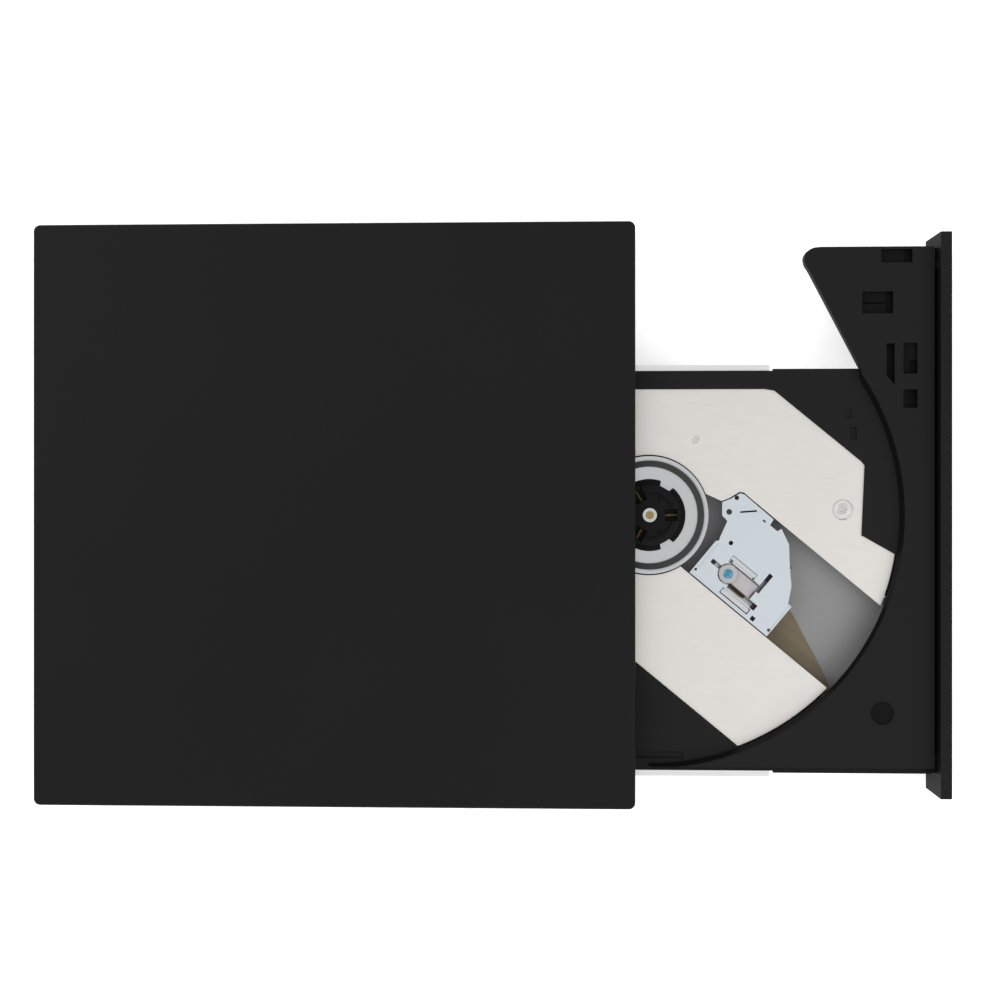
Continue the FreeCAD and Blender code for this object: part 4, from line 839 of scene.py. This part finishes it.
screws_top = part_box("traverse_cover")[1].z
COVER_SCREWS = [(46.91, 1.3), (-37.0, 26.4), (-40.5, 0.0)]
pattern = cross_screw("cover_screw", 1.62 * MM, 0.42 * MM, 0.85 * MM, 1.5 * MM)
screw_heads = []
for number, (place_x, place_y) in enumerate(COVER_SCREWS):
    screw_head = copied(pattern, f"cover_screw_{number + 1}")
    carry(screw_head, (SPINDLE.x + place_x * MM, SPINDLE.y + place_y * MM, screws_top - 0.3 * MM), number * 0.7)
    screw_heads.append(screw_head)
bpy.data.objects.remove(pattern)
cover_heads = joined(screw_heads, "cover_screw_heads")
nickel = brushed("nickel_screw", (0.62, 0.61, 0.60), 0.38, 0.0001, 0.001)
# Painted shade: below just under the cover's top, the cross recess, the rounded edge of the head and the shank
# go to a tenth of the colour.
painted_shade_below(nickel, [(-1.0, 0.10), (screws_top - 0.04 * MM, 0.90)])
wear(cover_heads, nickel)
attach(cover_heads, "tray")
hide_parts("cover_screws")
print("cover screws:", len(cover_heads.data.polygons), "faces")

# %% [markdown]
# The sheet is pressed up into a thin ring round each screw, and into one small boss that stiffens it.
# Each ring is a torus sunk into the sheet until only its crown shows, and the boss is a flat dome.

# %% Pressed rings of the cover
rings = []
pressings = [(*place, 2.35, 0.30) for place in COVER_SCREWS] + [(11.34, 18.3, 0.95, 0.26)]
for place_x, place_y, ring_radius, bead in pressings:
    clear_selection()
    bpy.ops.mesh.primitive_torus_add(major_radius=ring_radius * MM, minor_radius=bead * MM, major_segments=64,
                                     minor_segments=16, location=(SPINDLE.x + place_x * MM,
                                     SPINDLE.y + place_y * MM, screws_top - (bead - 0.07) * MM))
    ring = added("pressed_ring")
    bpy.ops.object.transform_apply(location=True, rotation=True, scale=True)
    bpy.ops.object.mode_set(mode="EDIT")
    bpy.ops.mesh.select_all(action="SELECT")
    bpy.ops.mesh.bisect(plane_co=(0, 0, screws_top - 0.05 * MM), plane_no=(0, 0, 1),
                        clear_inner=True, use_fill=True)
    bpy.ops.object.mode_set(mode="OBJECT")
    smooth(ring, 40)
    rings.append(ring)
pressed = joined(rings, "pressed_rings")
# Painted shade: the rings wear a darker copy of the cover's own sheet.
shaded_pressed_sheet = brushed("shaded_pressed_sheet", (0.60, 0.585, 0.56), 0.5, 0.00018, 0.004)
wear(pressed, shaded_pressed_sheet)
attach(pressed, "tray")
print("pressed rings:", len(rings))

# %% [markdown]
# A flat copper coil is wound on each side of the lens body. Each is a box whose top is inset and pushed
# down, which leaves the frame of the winding, and whose edges are then rounded.

# %% Focus coils
def flat_coil(along, across, width, depth, height):
    """A wound rectangular coil lying on its side, set by its centre in the laser's directions."""
    clear_selection()
    bpy.ops.mesh.primitive_cube_add(size=1)
    wound = added("flat_coil")
    wound.scale = (width * MM, depth * MM, height * MM)
    bpy.ops.object.transform_apply(location=True, rotation=True, scale=True)
    pick_faces(wound, lambda normal: normal.z > 0.9)
    bpy.ops.mesh.inset(thickness=depth * 0.28 * MM)
    bpy.ops.mesh.extrude_region_move(TRANSFORM_OT_translate={"value": (0, 0, -height * 0.7 * MM)})
    bpy.ops.object.mode_set(mode="OBJECT")
    rounding = wound.modifiers.new("rounding", "BEVEL")
    rounding.width = 0.10 * MM
    rounding.segments = 2
    rounding.limit_method = "ANGLE"
    bpy.ops.object.modifier_apply(modifier="rounding")
    carry(wound, in_slot(along, across, holder_low.z + 1.3 * MM), TRAVEL_ANGLE)
    smooth(wound, 35)
    return wound


coils = joined([flat_coil(28.4, 3.35, 4.6, 0.85, 1.6), flat_coil(28.4, -0.65, 4.6, 0.85, 1.6)], "focus_coils")
coil_copper = brushed("coil_copper", (0.085, 0.060, 0.045), 0.35, 0.00005, 0.002)
wear(coils, coil_copper)
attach(coils, "lens")
print("focus coils:", [round(value / MM, 2) for value in coils.dimensions])

# %% [markdown]
# The case stands on four soft feet. Each is a disc whose lower edge is rounded, with a shallow dish
# pressed into the middle.

# %% Rubber feet
low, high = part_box("rubber_feet")
FOOT = 5.0 * MM
feet = []
for foot_x in (low.x + FOOT, high.x - FOOT):
    for foot_y in (low.y + FOOT, high.y - FOOT):
        clear_selection()
        bpy.ops.mesh.primitive_cylinder_add(vertices=48, radius=FOOT, depth=high.z - low.z,
                                            location=(foot_x, foot_y, (low.z + high.z) / 2))
        foot = added("foot")
        bpy.ops.object.transform_apply(location=True, rotation=True, scale=True)
        pick_faces(foot, lambda normal: normal.z < -0.9)
        bpy.ops.mesh.bevel(offset=0.35 * MM, segments=3, affect="EDGES")
        pick_faces(foot, lambda normal: normal.z < -0.999)
        bpy.ops.mesh.inset(thickness=1.5 * MM)
        bpy.ops.mesh.inset(thickness=0.4 * MM)
        bpy.ops.transform.translate(value=(0, 0, 0.25 * MM))
        bpy.ops.object.mode_set(mode="OBJECT")
        smooth(foot, 40)
        feet.append(foot)
soft_feet = joined(feet, "soft_feet")
wear(soft_feet, foot_rubber)
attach(soft_feet, "enclosure")
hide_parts("rubber_feet")
print("feet:", len(soft_feet.data.polygons), "faces")
